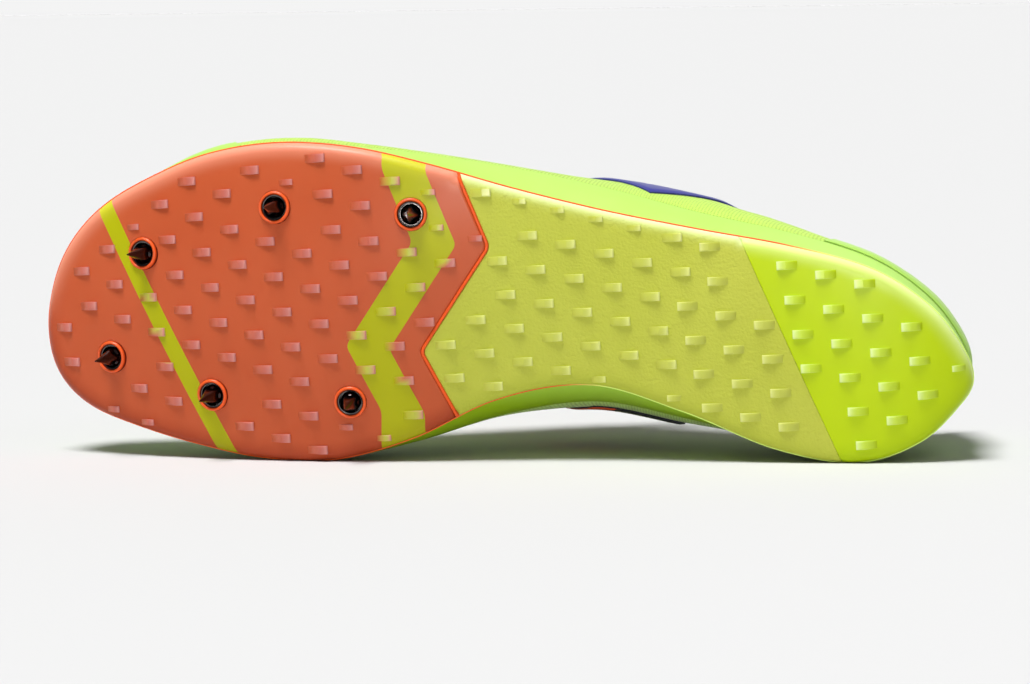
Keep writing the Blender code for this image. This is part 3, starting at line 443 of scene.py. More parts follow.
def node(tree, kind, inputs=None, **settings):
    made = tree.nodes.new(kind)
    for name, value in settings.items():
        setattr(made, name, value)
    for name, value in (inputs or {}).items():
        if isinstance(value, bpy.types.NodeSocket):
            tree.links.new(value, made.inputs[name])
        else:
            made.inputs[name].default_value = value
    return made


def newFinish(name, **shader):
    material = bpy.data.materials.new(name)
    material.use_nodes = True
    bsdf = material.node_tree.nodes["Principled BSDF"]
    for socket, value in shader.items():
        bsdf.inputs[socket.replace("_", " ")].default_value = value
    return material, material.node_tree, bsdf


def blendColours(tree, factor, a, b):
    # a and b: hex, plain values or sockets
    a, b = [linear(colour) if isinstance(colour, str) else colour for colour in (a, b)]
    return node(tree, "ShaderNodeMix", {0: factor, 6: a, 7: b}, data_type="RGBA").outputs[2]


def paintInto(tree, bsdf, factor, a, b):
    tree.links.new(blendColours(tree, factor, a, b), bsdf.inputs["Base Color"])


def bumpInto(tree, bsdf, height, distance, strength=1.0):
    bump = node(tree, "ShaderNodeBump", {"Height": height, "Distance": distance, "Strength": strength})
    tree.links.new(bump.outputs["Normal"], bsdf.inputs["Normal"])


def reckon(tree, operation, a, b):
    return node(tree, "ShaderNodeMath", {0: a, 1: b}, operation=operation).outputs[0]


def markOf(tree, name):
    # a value that the mesh keeps at its points
    return node(tree, "ShaderNodeAttribute", attribute_name=name).outputs["Fac"]


def noiseOf(tree, size, **settings):
    # clouds or grain of a size in metres
    where = node(tree, "ShaderNodeTexCoord").outputs["Object"]
    return node(tree, "ShaderNodeTexNoise", {"Vector": where, "Scale": 1 / size, **settings}).outputs["Fac"]


def cellsOf(tree, size):
    where = node(tree, "ShaderNodeTexCoord").outputs["Object"]
    return node(tree, "ShaderNodeTexVoronoi", {"Vector": where, "Scale": 1 / size}).outputs["Distance"]


def alongSurface(tree, **mapping):
    # the mesh's own metres along the cloth, turned or scaled
    uv = node(tree, "ShaderNodeUVMap", uv_map="surface").outputs["UV"]
    return node(tree, "ShaderNodeMapping", {"Vector": uv, **mapping}).outputs[0]


def mouldedRubber(name, field):
    # thermoplastic polyurethane, injection moulded: satin, light gets a little way in; a painted highlight
    # along the outer edge, which lies uppermost, and painted shade along the inner edge, which lies lowest
    material, tree, bsdf = newFinish(
        name, Roughness=field["roughness"], IOR=1.45, Coat_Weight=field["coat"], Coat_Roughness=0.18,
        Specular_IOR_Level=0.2, Subsurface_Weight=field["depth"], Subsurface_Scale=1.5 * mm,
        Subsurface_Radius=field["scatter"],
    )
    base = blendColours(tree, noiseOf(tree, 38 * mm, Detail=1.0), field["deep"], field["body"])
    # a painted highlight near the outer, uppermost edge, then painted shade near the inner, lowest edge
    paler = reckon(tree, "POWER", markOf(tree, "rim"), field["highlightPower"])
    base = blendColours(tree, paler, base, field["edge"])
    paintInto(tree, bsdf, markOf(tree, "low"), base, field["low"])
    bumpInto(tree, bsdf, noiseOf(tree, field["grain"], Detail=2.0, Roughness=0.5), field["grainDepth"])
    return material


def lugRubber(name, field, steep, lipHighlight):
    # the same rubber where a wedge stands up: paler and cooler towards its thick steep end, partly the thicker
    # rubber's tone and partly a painted highlight on the steep face, with painted highlights along its thin top
    # edges
    material, tree, bsdf = newFinish(
        name, Roughness=0.34, IOR=1.45, Coat_Weight=0.20, Coat_Roughness=0.15, Specular_IOR_Level=0.35,
        Subsurface_Weight=field["depth"], Subsurface_Scale=1.2 * mm, Subsurface_Radius=field["scatter"],
    )
    ramp, printed = markOf(tree, "ramp"), markOf(tree, "printed")
    foot = blendColours(tree, printed, field["body"], printField["body"])
    # the steep end's colour: partly the rubber's tone, partly a painted highlight
    top = blendColours(tree, printed, steep, printField["lug"])
    # painted highlights along the top's thin edges
    thin = reckon(tree, "POWER", reckon(tree, "MULTIPLY", markOf(tree, "lip"), ramp), 1.6)
    paintInto(tree, bsdf, thin, blendColours(tree, ramp, foot, top), lipHighlight)
    return material


def edgedNylon(name, colour, covered):
    # polyamide, injection moulded, satin: its edge is bare in places and has the foam's colour elsewhere
    material, tree, bsdf = newFinish(name, Roughness=0.4, IOR=1.53, Specular_IOR_Level=0.3)
    orange = blendColours(tree, noiseOf(tree, 8 * mm, Detail=2.0), dimmed(colour, 0.8), colour)
    paintInto(tree, bsdf, markOf(tree, "bare"), covered, orange)
    return material


def jointedNylon(name, colour, joint):
    # the same moulded nylon, satin, with a dark line of shade where two parts meet
    material, tree, bsdf = newFinish(name, Roughness=0.34, IOR=1.53, Specular_IOR_Level=0.35)
    paintInto(tree, bsdf, markOf(tree, "joint"), colour, joint)
    return material


def pressedFoam(name, colour, shade, deep):
    # EVA foam, compression moulded: a closed matt skin with very faint pores; a deeper green on the inner side
    # is painted shade, as that side faces down
    material, tree, bsdf = newFinish(
        name, Roughness=0.60, IOR=1.45, Specular_IOR_Level=0.25,
        Subsurface_Weight=0.10, Subsurface_Scale=3 * mm, Subsurface_Radius=(1.0, 1.0, 0.3),
    )
    base = blendColours(tree, noiseOf(tree, 30 * mm, Detail=2.0), shade, colour)
    # painted shade on the inner side, which faces down
    paintInto(tree, bsdf, markOf(tree, "inner"), base, deep)
    bumpInto(tree, bsdf, cellsOf(tree, 0.9 * mm), 0.03 * mm, 0.5)
    return material


def engineeredMesh(name, thread, gap, pitch):
    # polyester mesh, warp knitted: rows of small open cells with a fine rib between, dull with a soft sheen;
    # the cells are drawn coarser than a real knit, which this picture couldn't show
    material, tree, bsdf = newFinish(name, Roughness=0.82, IOR=1.46, Sheen_Weight=0.25, Sheen_Roughness=0.4)
    scaled = alongSurface(tree, Scale=(1 / (pitch * mm), 1 / (pitch * 0.8 * mm), 1.0))
    cells = node(tree, "ShaderNodeTexVoronoi", {"Vector": scaled, "Scale": 1.0, "Randomness": 0.18})
    opened = node(tree, "ShaderNodeMapRange",
                  {"Value": cells.outputs["Distance"], "From Min": 0.16, "From Max": 0.42}).outputs[0]
    paintInto(tree, bsdf, opened, gap, thread)
    bumpInto(tree, bsdf, opened, 0.12 * mm, 0.7)
    return material


def weldedFilm(name, colour, roughness=0.38):
    # polyurethane film, heat welded: thin, smooth and faintly pebbled by the mesh under it
    material, tree, bsdf = newFinish(name, Roughness=roughness, IOR=1.45, Specular_IOR_Level=0.3)
    paintInto(tree, bsdf, noiseOf(tree, 12 * mm, Detail=2.0), dimmed(colour, 0.88), colour)
    bumpInto(tree, bsdf, cellsOf(tree, 1.5 * mm), 0.06 * mm, 0.6)
    return material


def wovenTape(name, colour, shade, pitch):
    # polyester yarn, flat braided or knitted: fine slanted ribs, matt with a soft sheen
    material, tree, bsdf = newFinish(name, Roughness=0.85, IOR=1.46, Sheen_Weight=0.3, Sheen_Roughness=0.4)
    ribs = []
    for slant in (math.radians(50), math.radians(-50)):
        slanted = alongSurface(tree, Rotation=(0, 0, slant))
        scale = 0.314 / (pitch * mm)  # a wave texture repeats every 0.314 at scale 1
        ribs.append(node(tree, "ShaderNodeTexWave", {"Vector": slanted, "Scale": scale}).outputs["Fac"])
    height = reckon(tree, "MAXIMUM", *ribs)
    paintInto(tree, bsdf, height, shade, colour)
    bumpInto(tree, bsdf, height, 0.15 * mm)
    return material


def plainThread(name, colour):
    # polyester sewing thread: matt with a soft sheen, a little paler than the cloth
    return newFinish(
        name, Base_Color=linear(colour), Roughness=0.7, IOR=1.46, Sheen_Weight=0.3, Sheen_Roughness=0.4)[0]


def turnedSteel(name, colour, roughness, lacquer):
    # hardened steel, turned and lacquered: dark with sharp white glints, mirroring what is round it
    material, tree, bsdf = newFinish(name, Metallic=1.0, Coat_Weight=lacquer, Coat_Roughness=0.10)
    scratch = noiseOf(tree, 0.25 * mm, Detail=3.0)
    rough = node(tree, "ShaderNodeMapRange",
                 {"Value": scratch, "To Min": roughness * 0.7, "To Max": roughness * 1.4})
    tree.links.new(rough.outputs[0], bsdf.inputs["Roughness"])
    paintInto(tree, bsdf, scratch, dimmed(colour, 0.6), colour)
    bumpInto(tree, bsdf, scratch, 0.01 * mm)
    return material


# in each field, edge is the painted highlight colour along the outer, uppermost edge, and low the painted shade
# colour along the inner, lowest edge
forefootField = {
    "body": "#C65D36", "deep": "#BA502A", "edge": "#EE9C80", "low": "#A03A18", "highlightPower": 1.5,
    "roughness": 0.42, "coat": 0.08, "depth": 0.12, "scatter": (1.0, 0.35, 0.2),
    "grain": 6.0 * mm, "grainDepth": 0.10 * mm,
}
# lug: the print's colour at a lug's steep end, partly the rubber's tone and partly a painted highlight
printField = dict(
    forefootField, body="#B3B500", deep="#A8A800", edge="#CFCB38", low="#A09C00", lug="#C2C45C", depth=0.03,
)
waistField = {
    "body": "#C2C74E", "deep": "#B7BD40", "edge": "#DFF1BA", "low": "#B4BC40", "highlightPower": 4.0,
    "roughness": 0.55, "coat": 0.0, "depth": 0.08, "scatter": (1.0, 1.0, 0.4),
    "grain": 0.85 * mm, "grainDepth": 0.22 * mm,
}
heelField = {
    "body": "#C0D800", "deep": "#B4CC00", "edge": "#E2F4A0", "low": "#AAC400", "highlightPower": 2.0,
    "roughness": 0.36, "coat": 0.06, "depth": 0.05, "scatter": (1.0, 1.0, 0.2),
    "grain": 7.0 * mm, "grainDepth": 0.10 * mm,
}
forefootRubber = mouldedRubber("forefoot translucent polyurethane", forefootField)
printedRubber = mouldedRubber("yellow print under polyurethane", printField)
waistRubber = mouldedRubber("waist grained rubber", waistField)
heelRubber = mouldedRubber("heel translucent polyurethane", heelField)
# the last two colours: the steep end, partly a painted highlight, and the painted highlight along the top edges
forefootLugRubber = lugRubber("forefoot lug polyurethane", forefootField, "#BE6A62", "#CC847C")
waistLugRubber = lugRubber("waist lug rubber", waistField, "#C4CA54", "#DCE186")
heelLugRubber = lugRubber("heel lug polyurethane", heelField, "#CCE458", "#E0F2A0")
plateNylon = weldedFilm("moulded nylon plate", "#F05A1C", 0.34)
bossNylon = jointedNylon("moulded nylon boss", "#E8581E", "#7A1A08")
plateEdgeNylon = edgedNylon("moulded nylon plate edge", "#F0601E", "#D8F57A")
# the last colour is painted shade for the inner side, which faces down
foamLime = pressedFoam("pressed lime foam", "#B8E470", "#ACDA5A", "#8CAE0E")
meshLime = engineeredMesh("lime warp knit mesh", "#BCE25C", "#93B338", 1.1)
liningKnit = engineeredMesh("pale lining knit", "#E4F29A", "#B9CC66", 0.9)
filmLime = weldedFilm("lime welded film", "#AFDD60")
filmBlue = weldedFilm("blue welded film", "#3A3C8E")
filmOrange = weldedFilm("orange welded film", "#F0542A")
filmBlack = weldedFilm("black welded film", "#1C1D20")
meshDark = engineeredMesh("dark yellow open mesh", "#8C8E2A", "#2C2C14", 1.1)
laceTape = wovenTape("orange braided lace", "#F27848", "#C9532A", 0.9)
stitchThread = plainThread("lime sewing thread", "#CDEB80")
sockKnit = wovenTape("orange brushed sock", "#E4683A", "#C24E26", 0.7)
rimSteel = turnedSteel("dark turned steel", "#6A6462", 0.18, 0.4)
spikeSteel = turnedSteel("dark lacquered steel", "#2C1818", 0.22, 0.8)
print("finishes made:", len(bpy.data.materials))


# Outsole fields, from plan outlines

field = {
    "zigzagGap": 0.0010, "heelGap": 0.00002, "edgeRound": 0.0025, "lineRound": 0.0005, "heelRound": 0.00018,
    "fillet": 0.0017, "grid": 0.0017, "hole": 0.0050, "holeSteps": 56, "rimReach": 0.0060,
    "rows": (0.10, 0.35, 0.75, 1.25, 1.85, 2.5),  # mm inside the outline
}
printBands = {
    "chevron": (0.0095, 0.0225),  # how far ahead of the zigzag it starts and ends
    "stripeFrom": (0.935, 0.300), "stripeTo": (0.770, -0.470), "stripeWidth": 0.0052,
}


def filletedLine(corners, radius, step=0.8 * mm):
    # straight runs with round corners, from (along, across) shares
    points = np.array(corners) * planScale
    line = [points[0]]
    for before, corner, after in zip(points, points[1:], points[2:]):
        back = min(radius, 0.45 * np.linalg.norm(after - corner), 0.45 * np.linalg.norm(before - corner))
        a, b = corner + unit(before - corner) * back, corner + unit(after - corner) * back
        line += [(1 - t) ** 2 * a + 2 * (1 - t) * t * corner + t**2 * b for t in np.linspace(0, 1, 9)]
    line.append(points[-1])
    run = runOf(line)
    return readOff(np.linspace(0, run[-1], int(run[-1] / step)), run, line)


zigzagLine = filletedLine(zigzag, field["fillet"])
heelLinePlan = filletedLine(heelLine, field["fillet"])


def lineX(line, y):
    return np.interp(-np.asarray(y), -line[:, 1], line[:, 0])


def crossing(line, side, shift):
    # the edge's angle where a line, moved along by shift, meets it
    low, high = 0.05, math.pi - 0.05
    for _ in range(50):
        middle = (low + high) / 2
        x, y = edgeLine(side * middle)
        low, high = (middle, high) if x < lineX(line, y) + shift else (low, middle)
    return side * (low + high) / 2


def lineBetween(line, shift, start, end):
    # the points of a moved line between two points of the edge
    a, b = edgeLine(start), edgeLine(end)
    moved = line + np.array([shift, 0])
    low, high = min(a[1], b[1]), max(a[1], b[1])
    inner = moved[(moved[:, 1] > low + 0.3 * mm) & (moved[:, 1] < high - 0.3 * mm)]
    return inner if a[1] > b[1] else inner[::-1]


def fieldOutline(behind, before):
    # the field's outline, and which of its points lie on the sole's own edge
    ahead, back = field["zigzagGap"] / 2, -field["heelGap"] / 2
    if behind is None:
        start, end = crossing(before, -1, back), crossing(before, 1, back)
        edges, lines = [(start, end, 145)], [lineBetween(before, back, end, start)]
    elif before is None:
        start, end = crossing(behind, 1, ahead), 2 * math.pi + crossing(behind, -1, ahead)
        edges, lines = [(start, end, 309)], [lineBetween(behind, ahead, end, start)]
    else:
        a, b = crossing(behind, 1, -back), crossing(before, 1, -ahead)
        c, d = crossing(before, -1, -ahead), crossing(behind, -1, -back)
        edges = [(a, b, 81), (c, d, 118)]
        lines = [lineBetween(before, -ahead, b, c), lineBetween(behind, -back, d, a)]
    runs = []
    for edge, line in zip(edges, lines):
        runs += [(edgeLine(np.linspace(*edge)), True), (line, False)]
    onEdge = np.concatenate([np.full(len(run), flag) for run, flag in runs])
    return np.concatenate([run for run, _ in runs]), onEdge


def distanceTo(points, starts, ends):
    # least distance from each point to any of the segments
    found = np.full(len(points), np.inf)
    for a, b in zip(starts, ends):
        way = b - a
        t = np.clip(((points - a) @ way) / max(way @ way, 1e-18), 0, 1)
        found = np.minimum(found, np.linalg.norm(points - a - t[:, None] * way, axis=1))
    return found


def insidePolygon(points, outline):
    inside = np.zeros(len(points), bool)
    for a, b in zip(outline, np.roll(outline, -1, axis=0)):
        crosses = (a[1] > points[:, 1]) != (b[1] > points[:, 1])
        x = (b[0] - a[0]) * (points[:, 1] - a[1]) / (b[1] - a[1] + 1e-18) + a[0]
        inside ^= crosses & (points[:, 0] < x)
    return inside


def quarterRound(distance, radius):
    # share of the depth that a rounded edge drops, from 1 at the edge to 0 at radius
    return 1 - np.sqrt(1 - np.clip(1 - distance / radius, 0, 1) ** 2)


def clearOfHoles(points, holes, room):
    clear = np.ones(len(points), bool)
    for hole in holes:
        clear &= np.linalg.norm(points - hole, axis=1) > room
    return clear


def freePoints(outline, holes, bands):
    # rows of points close inside the outline and a lattice over the rest, clear of holes and band edges
    after = np.roll(outline, -1, axis=0)
    normal = unit(after - np.roll(outline, 1, axis=0)) @ np.array([[0, 1], [-1, 0]])
    if not insidePolygon(outline[:1] + normal[:1] * 0.3 * mm, outline)[0]:
        normal = -normal
    sets = [(outline + normal * depth * mm, 0.93 * depth * mm) for depth in field["rows"]]
    low, high = outline.min(axis=0), outline.max(axis=0)
    x, y = np.meshgrid(*[np.arange(low[k], high[k], field["grid"]) for k in (0, 1)])
    x = x + (np.arange(x.shape[0]) % 2)[:, None] * field["grid"] / 2
    sets.append((np.stack([x.ravel(), y.ravel()], axis=-1), (field["rows"][-1] + 0.9) * mm))
    free = []
    for points, least in sets:
        keep = insidePolygon(points, outline) & (distanceTo(points, outline, after) > least)
        keep &= clearOfHoles(points, holes, field["hole"] + 0.5 * mm)
        for band in bands:
            keep &= np.abs(band(points)) > 0.35 * mm
        free.append(points[keep])
    return free


def fixedLines(outline, holes, bands):
    # the points of the outline, the holes and the bands' edges, and the pairs of them that have to be joined
    after = np.roll(outline, -1, axis=0)
    steps = field["holeSteps"]
    total = len(outline)
    points, pairs = [outline], [(k, (k + 1) % total) for k in range(total)]
    for hole in holes:
        turn = np.arange(steps) * 2 * math.pi / steps
        points.append(hole + field["hole"] * np.stack([np.cos(turn), np.sin(turn)], axis=-1))
        pairs += [(total + k, total + (k + 1) % steps) for k in range(steps)]
        total += steps
    for line in [line for band in bands for line in band.lines]:
        inner = line[insidePolygon(line, outline) & (distanceTo(line, outline, after) > 0.05 * mm)]
        inner = inner[clearOfHoles(inner, holes, field["hole"] + 0.2 * mm)]
        near = np.linalg.norm(np.diff(inner, axis=0), axis=1) < 2.0 * mm
        pairs += [(total + k, total + k + 1) for k in range(len(inner) - 1) if near[k]]
        points.append(inner)
        total += len(inner)
    return points, pairs


def makeField(name, behind, before, materials, bands=()):
    outline, onEdge = fieldOutline(behind, before)
    after = np.roll(outline, -1, axis=0)
    holes = [np.array(at)[:2] for at, _ in spikeFrames] if before is None else []
    points, pairs = fixedLines(outline, holes, bands)
    points = np.concatenate(points + freePoints(outline, holes, bands))
    result = delaunay_2d_cdt([Vector(p) for p in points * 1000], pairs, [], 1, 1e-5)
    plan = np.array([tuple(v) for v in result[0]]) / 1000
    middles = np.array([plan[face].mean(axis=0) for face in result[2]])
    keep = insidePolygon(middles, outline) & clearOfHoles(middles, holes, field["hole"] * 0.99)
    faces = [tuple(face) for face, kept in zip(result[2], keep) if kept]
    middles = middles[keep]

    # the rubber's outer face drops at the sole's edge and a little at the dividing lines
    onRim = onEdge | np.roll(onEdge, -1)
    rim = distanceTo(plan, outline[onRim], after[onRim])
    line = distanceTo(plan, outline[~onRim], after[~onRim])
    nearHeelLine = np.abs(plan[:, 0] - lineX(heelLinePlan, plan[:, 1])) < 2 * mm
    soft = np.where(nearHeelLine, field["heelRound"], field["lineRound"])
    drop = layers["outsole"] * quarterRound(rim, field["edgeRound"]) + soft * quarterRound(line, soft)
    base = underside(plan[:, 0], plan[:, 1])
    front = np.column_stack([plan, base + np.minimum(drop, layers["outsole"])])
    back = np.column_stack([plan, base + layers["outsole"]])

    size = len(plan)
    uses = {}
    for face in faces:
        for pair in zip(face, face[1:] + face[:1]):
            uses.setdefault(frozenset(pair), []).append(pair)
    border = [found[0] for found in uses.values() if len(found) == 1]
    sides = [(b, a, a + size, b + size) for a, b in border]
    indices = np.zeros(2 * len(faces) + len(sides), int)
    for band in bands:
        indices[:len(faces)][band(middles) < 0] = 1
    angle = stationAngle(plan[:, 0])
    outer, inner = last["ball"] * edgeAt(angle), last["ball"] * edgeAt(-angle)
    side = np.clip((plan[:, 1] - inner) / np.maximum(outer - inner, 1e-4), 0, 1)
    nearEdge = np.clip(1 - rim / field["rimReach"], 0, 1)
    # rim: painted highlight near the outer edge, which lies uppermost; low: painted shade near the inner edge,
    # which lies lowest
    marks = {"rim": nearEdge * np.clip(1.5 * side - 0.5, 0, 1), "low": nearEdge * (1 - side)}
    marks = {mark: np.tile(values, 2) for mark, values in marks.items()}
    allFaces = faces + [tuple(k + size for k in face[::-1]) for face in faces] + sides
    return newPiece(name, np.concatenate([front, back]), allFaces, materials, 50, marks, None, indices)


def chevronBand():
    # a plain band that follows the zigzag; negative inside
    near, far = printBands["chevron"]

    def inside(points):
        ahead = points[:, 0] - lineX(zigzagLine, points[:, 1])
        return np.maximum(near - ahead, ahead - far)

    inside.lines = [zigzagLine + np.array([shift, 0]) for shift in (near, far)]
    return inside


def stripeBand():
    # a plain straight band across the ball; negative inside
    a, b = [np.array(printBands[end]) * planScale for end in ("stripeFrom", "stripeTo")]
    way = unit(b - a)
    side = np.array([-way[1], way[0]]) * printBands["stripeWidth"] / 2

    def inside(points):
        return np.abs((points - a) @ side) / (printBands["stripeWidth"] / 2) - printBands["stripeWidth"] / 2

    run = np.linspace(-0.1, 1.1, 150)[:, None]
    inside.lines = [a + (b - a) * run + side * s for s in (-1, 1)]
    return inside


bands = (chevronBand(), stripeBand())
fields = (
    # name, dividing line behind and before it, finishes, finish of its lugs, bands across it
    ("forefoot", zigzagLine, None, [forefootRubber, printedRubber], forefootLugRubber, bands),
    ("waist", heelLinePlan, zigzagLine, [waistRubber], waistLugRubber, ()),
    ("heel", None, heelLinePlan, [heelRubber], heelLugRubber, ()),
)
for name, behind, before, finishes, _, across in fields:
    made = makeField(name + "Outsole", behind, before, finishes, across)
    place(made, name + "_rubber", name + "_outsole")
print("outsole fields made")


# Lugs: one wedge, set out over the sole by Geometry Nodes

lug = {
    "length": 0.0062, "width": 0.0025, "height": 0.0008, "turn": math.radians(-7),
    "margin": 0.0027, "room": 0.0006,
    "edgeMargin": 0.0017, "edgeShare": 0.70,  # the smaller lugs that still fit close to the edge
    "reverse": 0.31,  # behind this share of the length the ramps face the other way
    "reach": 30,
    "front": ((0.2354, 0.0302), (0.01158, 0.00242), (0.00325, 0.01025)),  # start, step along, step across
    "rear": ((0.0295, -0.0204), (0.01150, 0.00177), (0.00314, 0.00988)),
    "flat": 0.42, "corner": 0.11, "clear": 0.0038 + 0.0011,
}


def smallShape(name, rings, sharp=180):
    # a small closed shape from rings of points, for the rows below
    mesh = bpy.data.meshes.new(name)
    points = [point for ring in rings for point in ring]
    mesh.from_pydata(points, [], tubeFaces(len(rings), len(rings[0]), True))
    mendNormals(mesh)
    mesh.shade_smooth()
    mesh.set_sharp_from_angle(angle=math.radians(sharp))
    return bpy.data.objects.new(name, mesh)


def keepMark(mesh, name, values):
    mesh.attributes.new(name, "FLOAT", "POINT").data.foreach_set("value", np.asarray(values, np.float32))


def wedge():
    # a unit wedge: steep face at -x, flat top, ramp down to +x, corners taken off
    profile = [(-0.5, -0.8), (-0.5, 0.86), (-0.44, 1.0), (-0.5 + lug["flat"], 1.0), (0.5, -0.05), (0.5, -0.8)]
    corner = lug["corner"]
    rings = [[(x, y, z if z < 0 else max(z - inset, -0.05)) for x, z in profile]
             for y, inset in ((-0.5, corner), (-0.5 + corner, 0.0), (0.5 - corner, 0.0), (0.5, corner))]
    made = smallShape("wedge", rings, 32)
    places = [v.co for v in made.data.vertices]
    # ramp leads to the steep end's colour, partly a painted highlight; lip marks the top's edges, painted as
    # highlights
    keepMark(made.data, "ramp", [min(max(0.5 - p.x, 0), 1) ** 1.2 for p in places])
    keepMark(made.data, "lip", [p.z > 0 and (abs(p.y) > 0.49 or p.x < -0.43) for p in places])
    return made


def lugPlaces(behind, before):
    # lattice points clear of edges, dividing lines and spikes; those close to the edge are smaller
    places = []
    start, along, across = lug["rear" if before is not None else "front"]
    for i in range(-lug["reach"], lug["reach"]):
        for j in range(-lug["reach"], lug["reach"]):
            x = start[0] + i * along[0] + j * across[0]
            y = start[1] + i * along[1] + j * across[1]
            if not 0 < x < last["length"]:
                continue
            for share, margin in ((1.0, lug["margin"]), (lug["edgeShare"], lug["edgeMargin"])):
                half = share * lug["length"] / 2
                room = half + lug["room"]
                angles = stationAngle([x, x + half, x - half])
                lateral = last["ball"] * edgeAt(angles).min() - margin
                medial = last["ball"] * edgeAt(-angles).max() + margin
                endRoom = min(x, last["length"] - x) > margin + half
                near = min(math.hypot(x - at.x, y - at.y) for at, _ in spikeFrames)
                fits = medial < y < lateral and endRoom and near > lug["clear"] + room
                fits = fits and (behind is None or x - room > lineX(behind, y))
                fits = fits and (before is None or x + room < lineX(before, y))
                if fits:
                    places.append((x, y, share))
                    break
    return places


def rowTree():
    tree = bpy.data.node_groups.new("rows of small pieces", "GeometryNodeTree")
    sockets = {}
    for name, kind in (("Places", "Geometry"), ("Piece", "Object"), ("Length", "Float"), ("Width", "Float"),
                       ("Height", "Float"), ("Finish", "Material")):
        made = tree.interface.new_socket(name, in_out="INPUT", socket_type="NodeSocket" + kind)
        sockets[name] = made.identifier
    tree.interface.new_socket("Rows", in_out="OUTPUT", socket_type="NodeSocketGeometry")
    given = node(tree, "NodeGroupInput")
    shape = node(tree, "GeometryNodeObjectInfo", {"Object": given.outputs["Piece"]})
    size = node(tree, "ShaderNodeCombineXYZ",
                {"X": given.outputs["Length"], "Y": given.outputs["Width"], "Z": given.outputs["Height"]})
    way = node(tree, "GeometryNodeInputNamedAttribute", {"Name": "way"}, data_type="FLOAT_VECTOR")
    turn = node(tree, "FunctionNodeEulerToRotation", {"Euler": way.outputs["Attribute"]})
    share = node(tree, "GeometryNodeInputNamedAttribute", {"Name": "share"}, data_type="FLOAT")
    scaled = node(tree, "ShaderNodeVectorMath",
                  {0: size.outputs[0], "Scale": share.outputs["Attribute"]}, operation="SCALE")
    points = node(tree, "GeometryNodeMeshToPoints", {"Mesh": given.outputs["Places"]})
    copies = node(tree, "GeometryNodeInstanceOnPoints",
                  {"Points": points.outputs[0], "Instance": shape.outputs["Geometry"],
                   "Rotation": turn.outputs[0], "Scale": scaled.outputs[0]})
    real = node(tree, "GeometryNodeRealizeInstances", {"Geometry": copies.outputs[0]})
    painted = node(tree, "GeometryNodeSetMaterial",
                   {"Geometry": real.outputs[0], "Material": given.outputs["Finish"]})
    node(tree, "NodeGroupOutput", {"Rows": painted.outputs[0]})
    return tree, sockets


rowNodes, rowSockets = rowTree()
wedgeShape = wedge()


def setOut(name, points, ways, shares, shape, size, finish):
    # one shape at each point, turned by ways and scaled by shares, as a plain mesh
    mesh = bpy.data.meshes.new(name)
    mesh.from_pydata(laid(points).tolist(), [], [])
    layer = mesh.attributes.new("way", "FLOAT_VECTOR", "POINT")
    turns = [(Matrix(layTurn.tolist()) @ Matrix(way)).to_euler() for way in ways]
    layer.data.foreach_set("vector", np.array([tuple(turn) for turn in turns], np.float32).ravel())
    keepMark(mesh, "share", shares)
    made = inScene(name, mesh)
    modifier = made.modifiers.new("rows", "NODES")
    modifier.node_group = rowNodes
    for socket, value in zip(("Length", "Width", "Height"), size):
        modifier[rowSockets[socket]] = value
    modifier[rowSockets["Piece"]] = shape
    modifier[rowSockets["Finish"]] = finish
    return applied(made)


def makeLugs(name, behind, before, finish):
    points, ways, shares = [], [], []
    for x, y, share in lugPlaces(behind, before):
        at, up = soleFrame(x, y)
        heading = lug["turn"] if x > last["length"] * lug["reverse"] else lug["turn"] + math.pi
        along = Vector((math.cos(heading), math.sin(heading), 0))
        along = (along - up * along.dot(up)).normalized()
        across = up.cross(along)
        points.append(at)
        ways.append(np.array((along, across, up)).T)
        shares.append(share)
    size = (lug["length"], lug["width"], lug["height"])
    made = setOut(name, points, ways, shares, wedgeShape, size, finish)
    places = np.empty(len(made.data.vertices) * 3)
    made.data.vertices.foreach_get("co", places)
    plan = ((places.reshape(-1, 3) - layMove) @ layTurn)[:, :2]
    inBand = np.any([band(plan) < 0 for band in bands], axis=0)
    keepMark(made.data, "printed", inBand & (plan[:, 0] > lineX(zigzagLine, plan[:, 1])))
    return made


for name, behind, before, _, finish, _ in fields:
    place(makeLugs(name + "Lugs", behind, before, finish), name + "_rubber")
print("lugs made")


# Plate, its rib in the zigzag joint, bosses, sockets and spikes

def slabPiece(name, rings, floor, ceiling, materials, steps=14, sharp=40, marks=None, mapped=False):
    # a solid between two surfaces, closed round its edge by rings of points
    count = len(rings[0])
    points = [np.asarray(ring) for ring in rings]
    faces = tubeFaces(len(rings), count)
    half = count // 2
    base = len(rings) * count
    for ring, surface in ((points[0], floor), (points[-1], ceiling)):
        a, b = ring[:half + 1], ring[(count - np.arange(half + 1)) % count]
        grid = a[:, None] + (b - a)[:, None] * np.linspace(0, 1, steps + 1)[None, :, None]
        z = surface(grid[..., 0], grid[..., 1])
        z[:, 0], z[:, -1] = a[:, 2], b[:, 2]
        grid[..., 2] = z
        points.append(grid.reshape(-1, 3))
        faces += gridFaces(half + 1, steps + 1, start=base)
        base += (half + 1) * (steps + 1)
    points = np.concatenate(points)
    uv = points[:, :2] if mapped else None
    return newPiece(name, points, faces, materials, sharp, marks and marks(points), uv)


fine = {"stations": 360, "wallRows": 56}
roundAngles = np.arange(fine["stations"]) * 2 * math.pi / fine["stations"]


def edgeRing(inset, height):
    plan = edgeLine(roundAngles) - np.reshape(inset, (-1, 1)) * outwardOf(edgeLine, roundAngles)
    return np.column_stack([plan, underside(plan[:, 0], plan[:, 1]) + height])


plate = {
    "lip": 0.00035, "ribWidth": 0.00085, "ribProud": 0.00022,
    "bareOuter": (0.15, 0.21), "bareInner": (0.38, 0.43),  # along the shoe, where the bare edge fades in
}


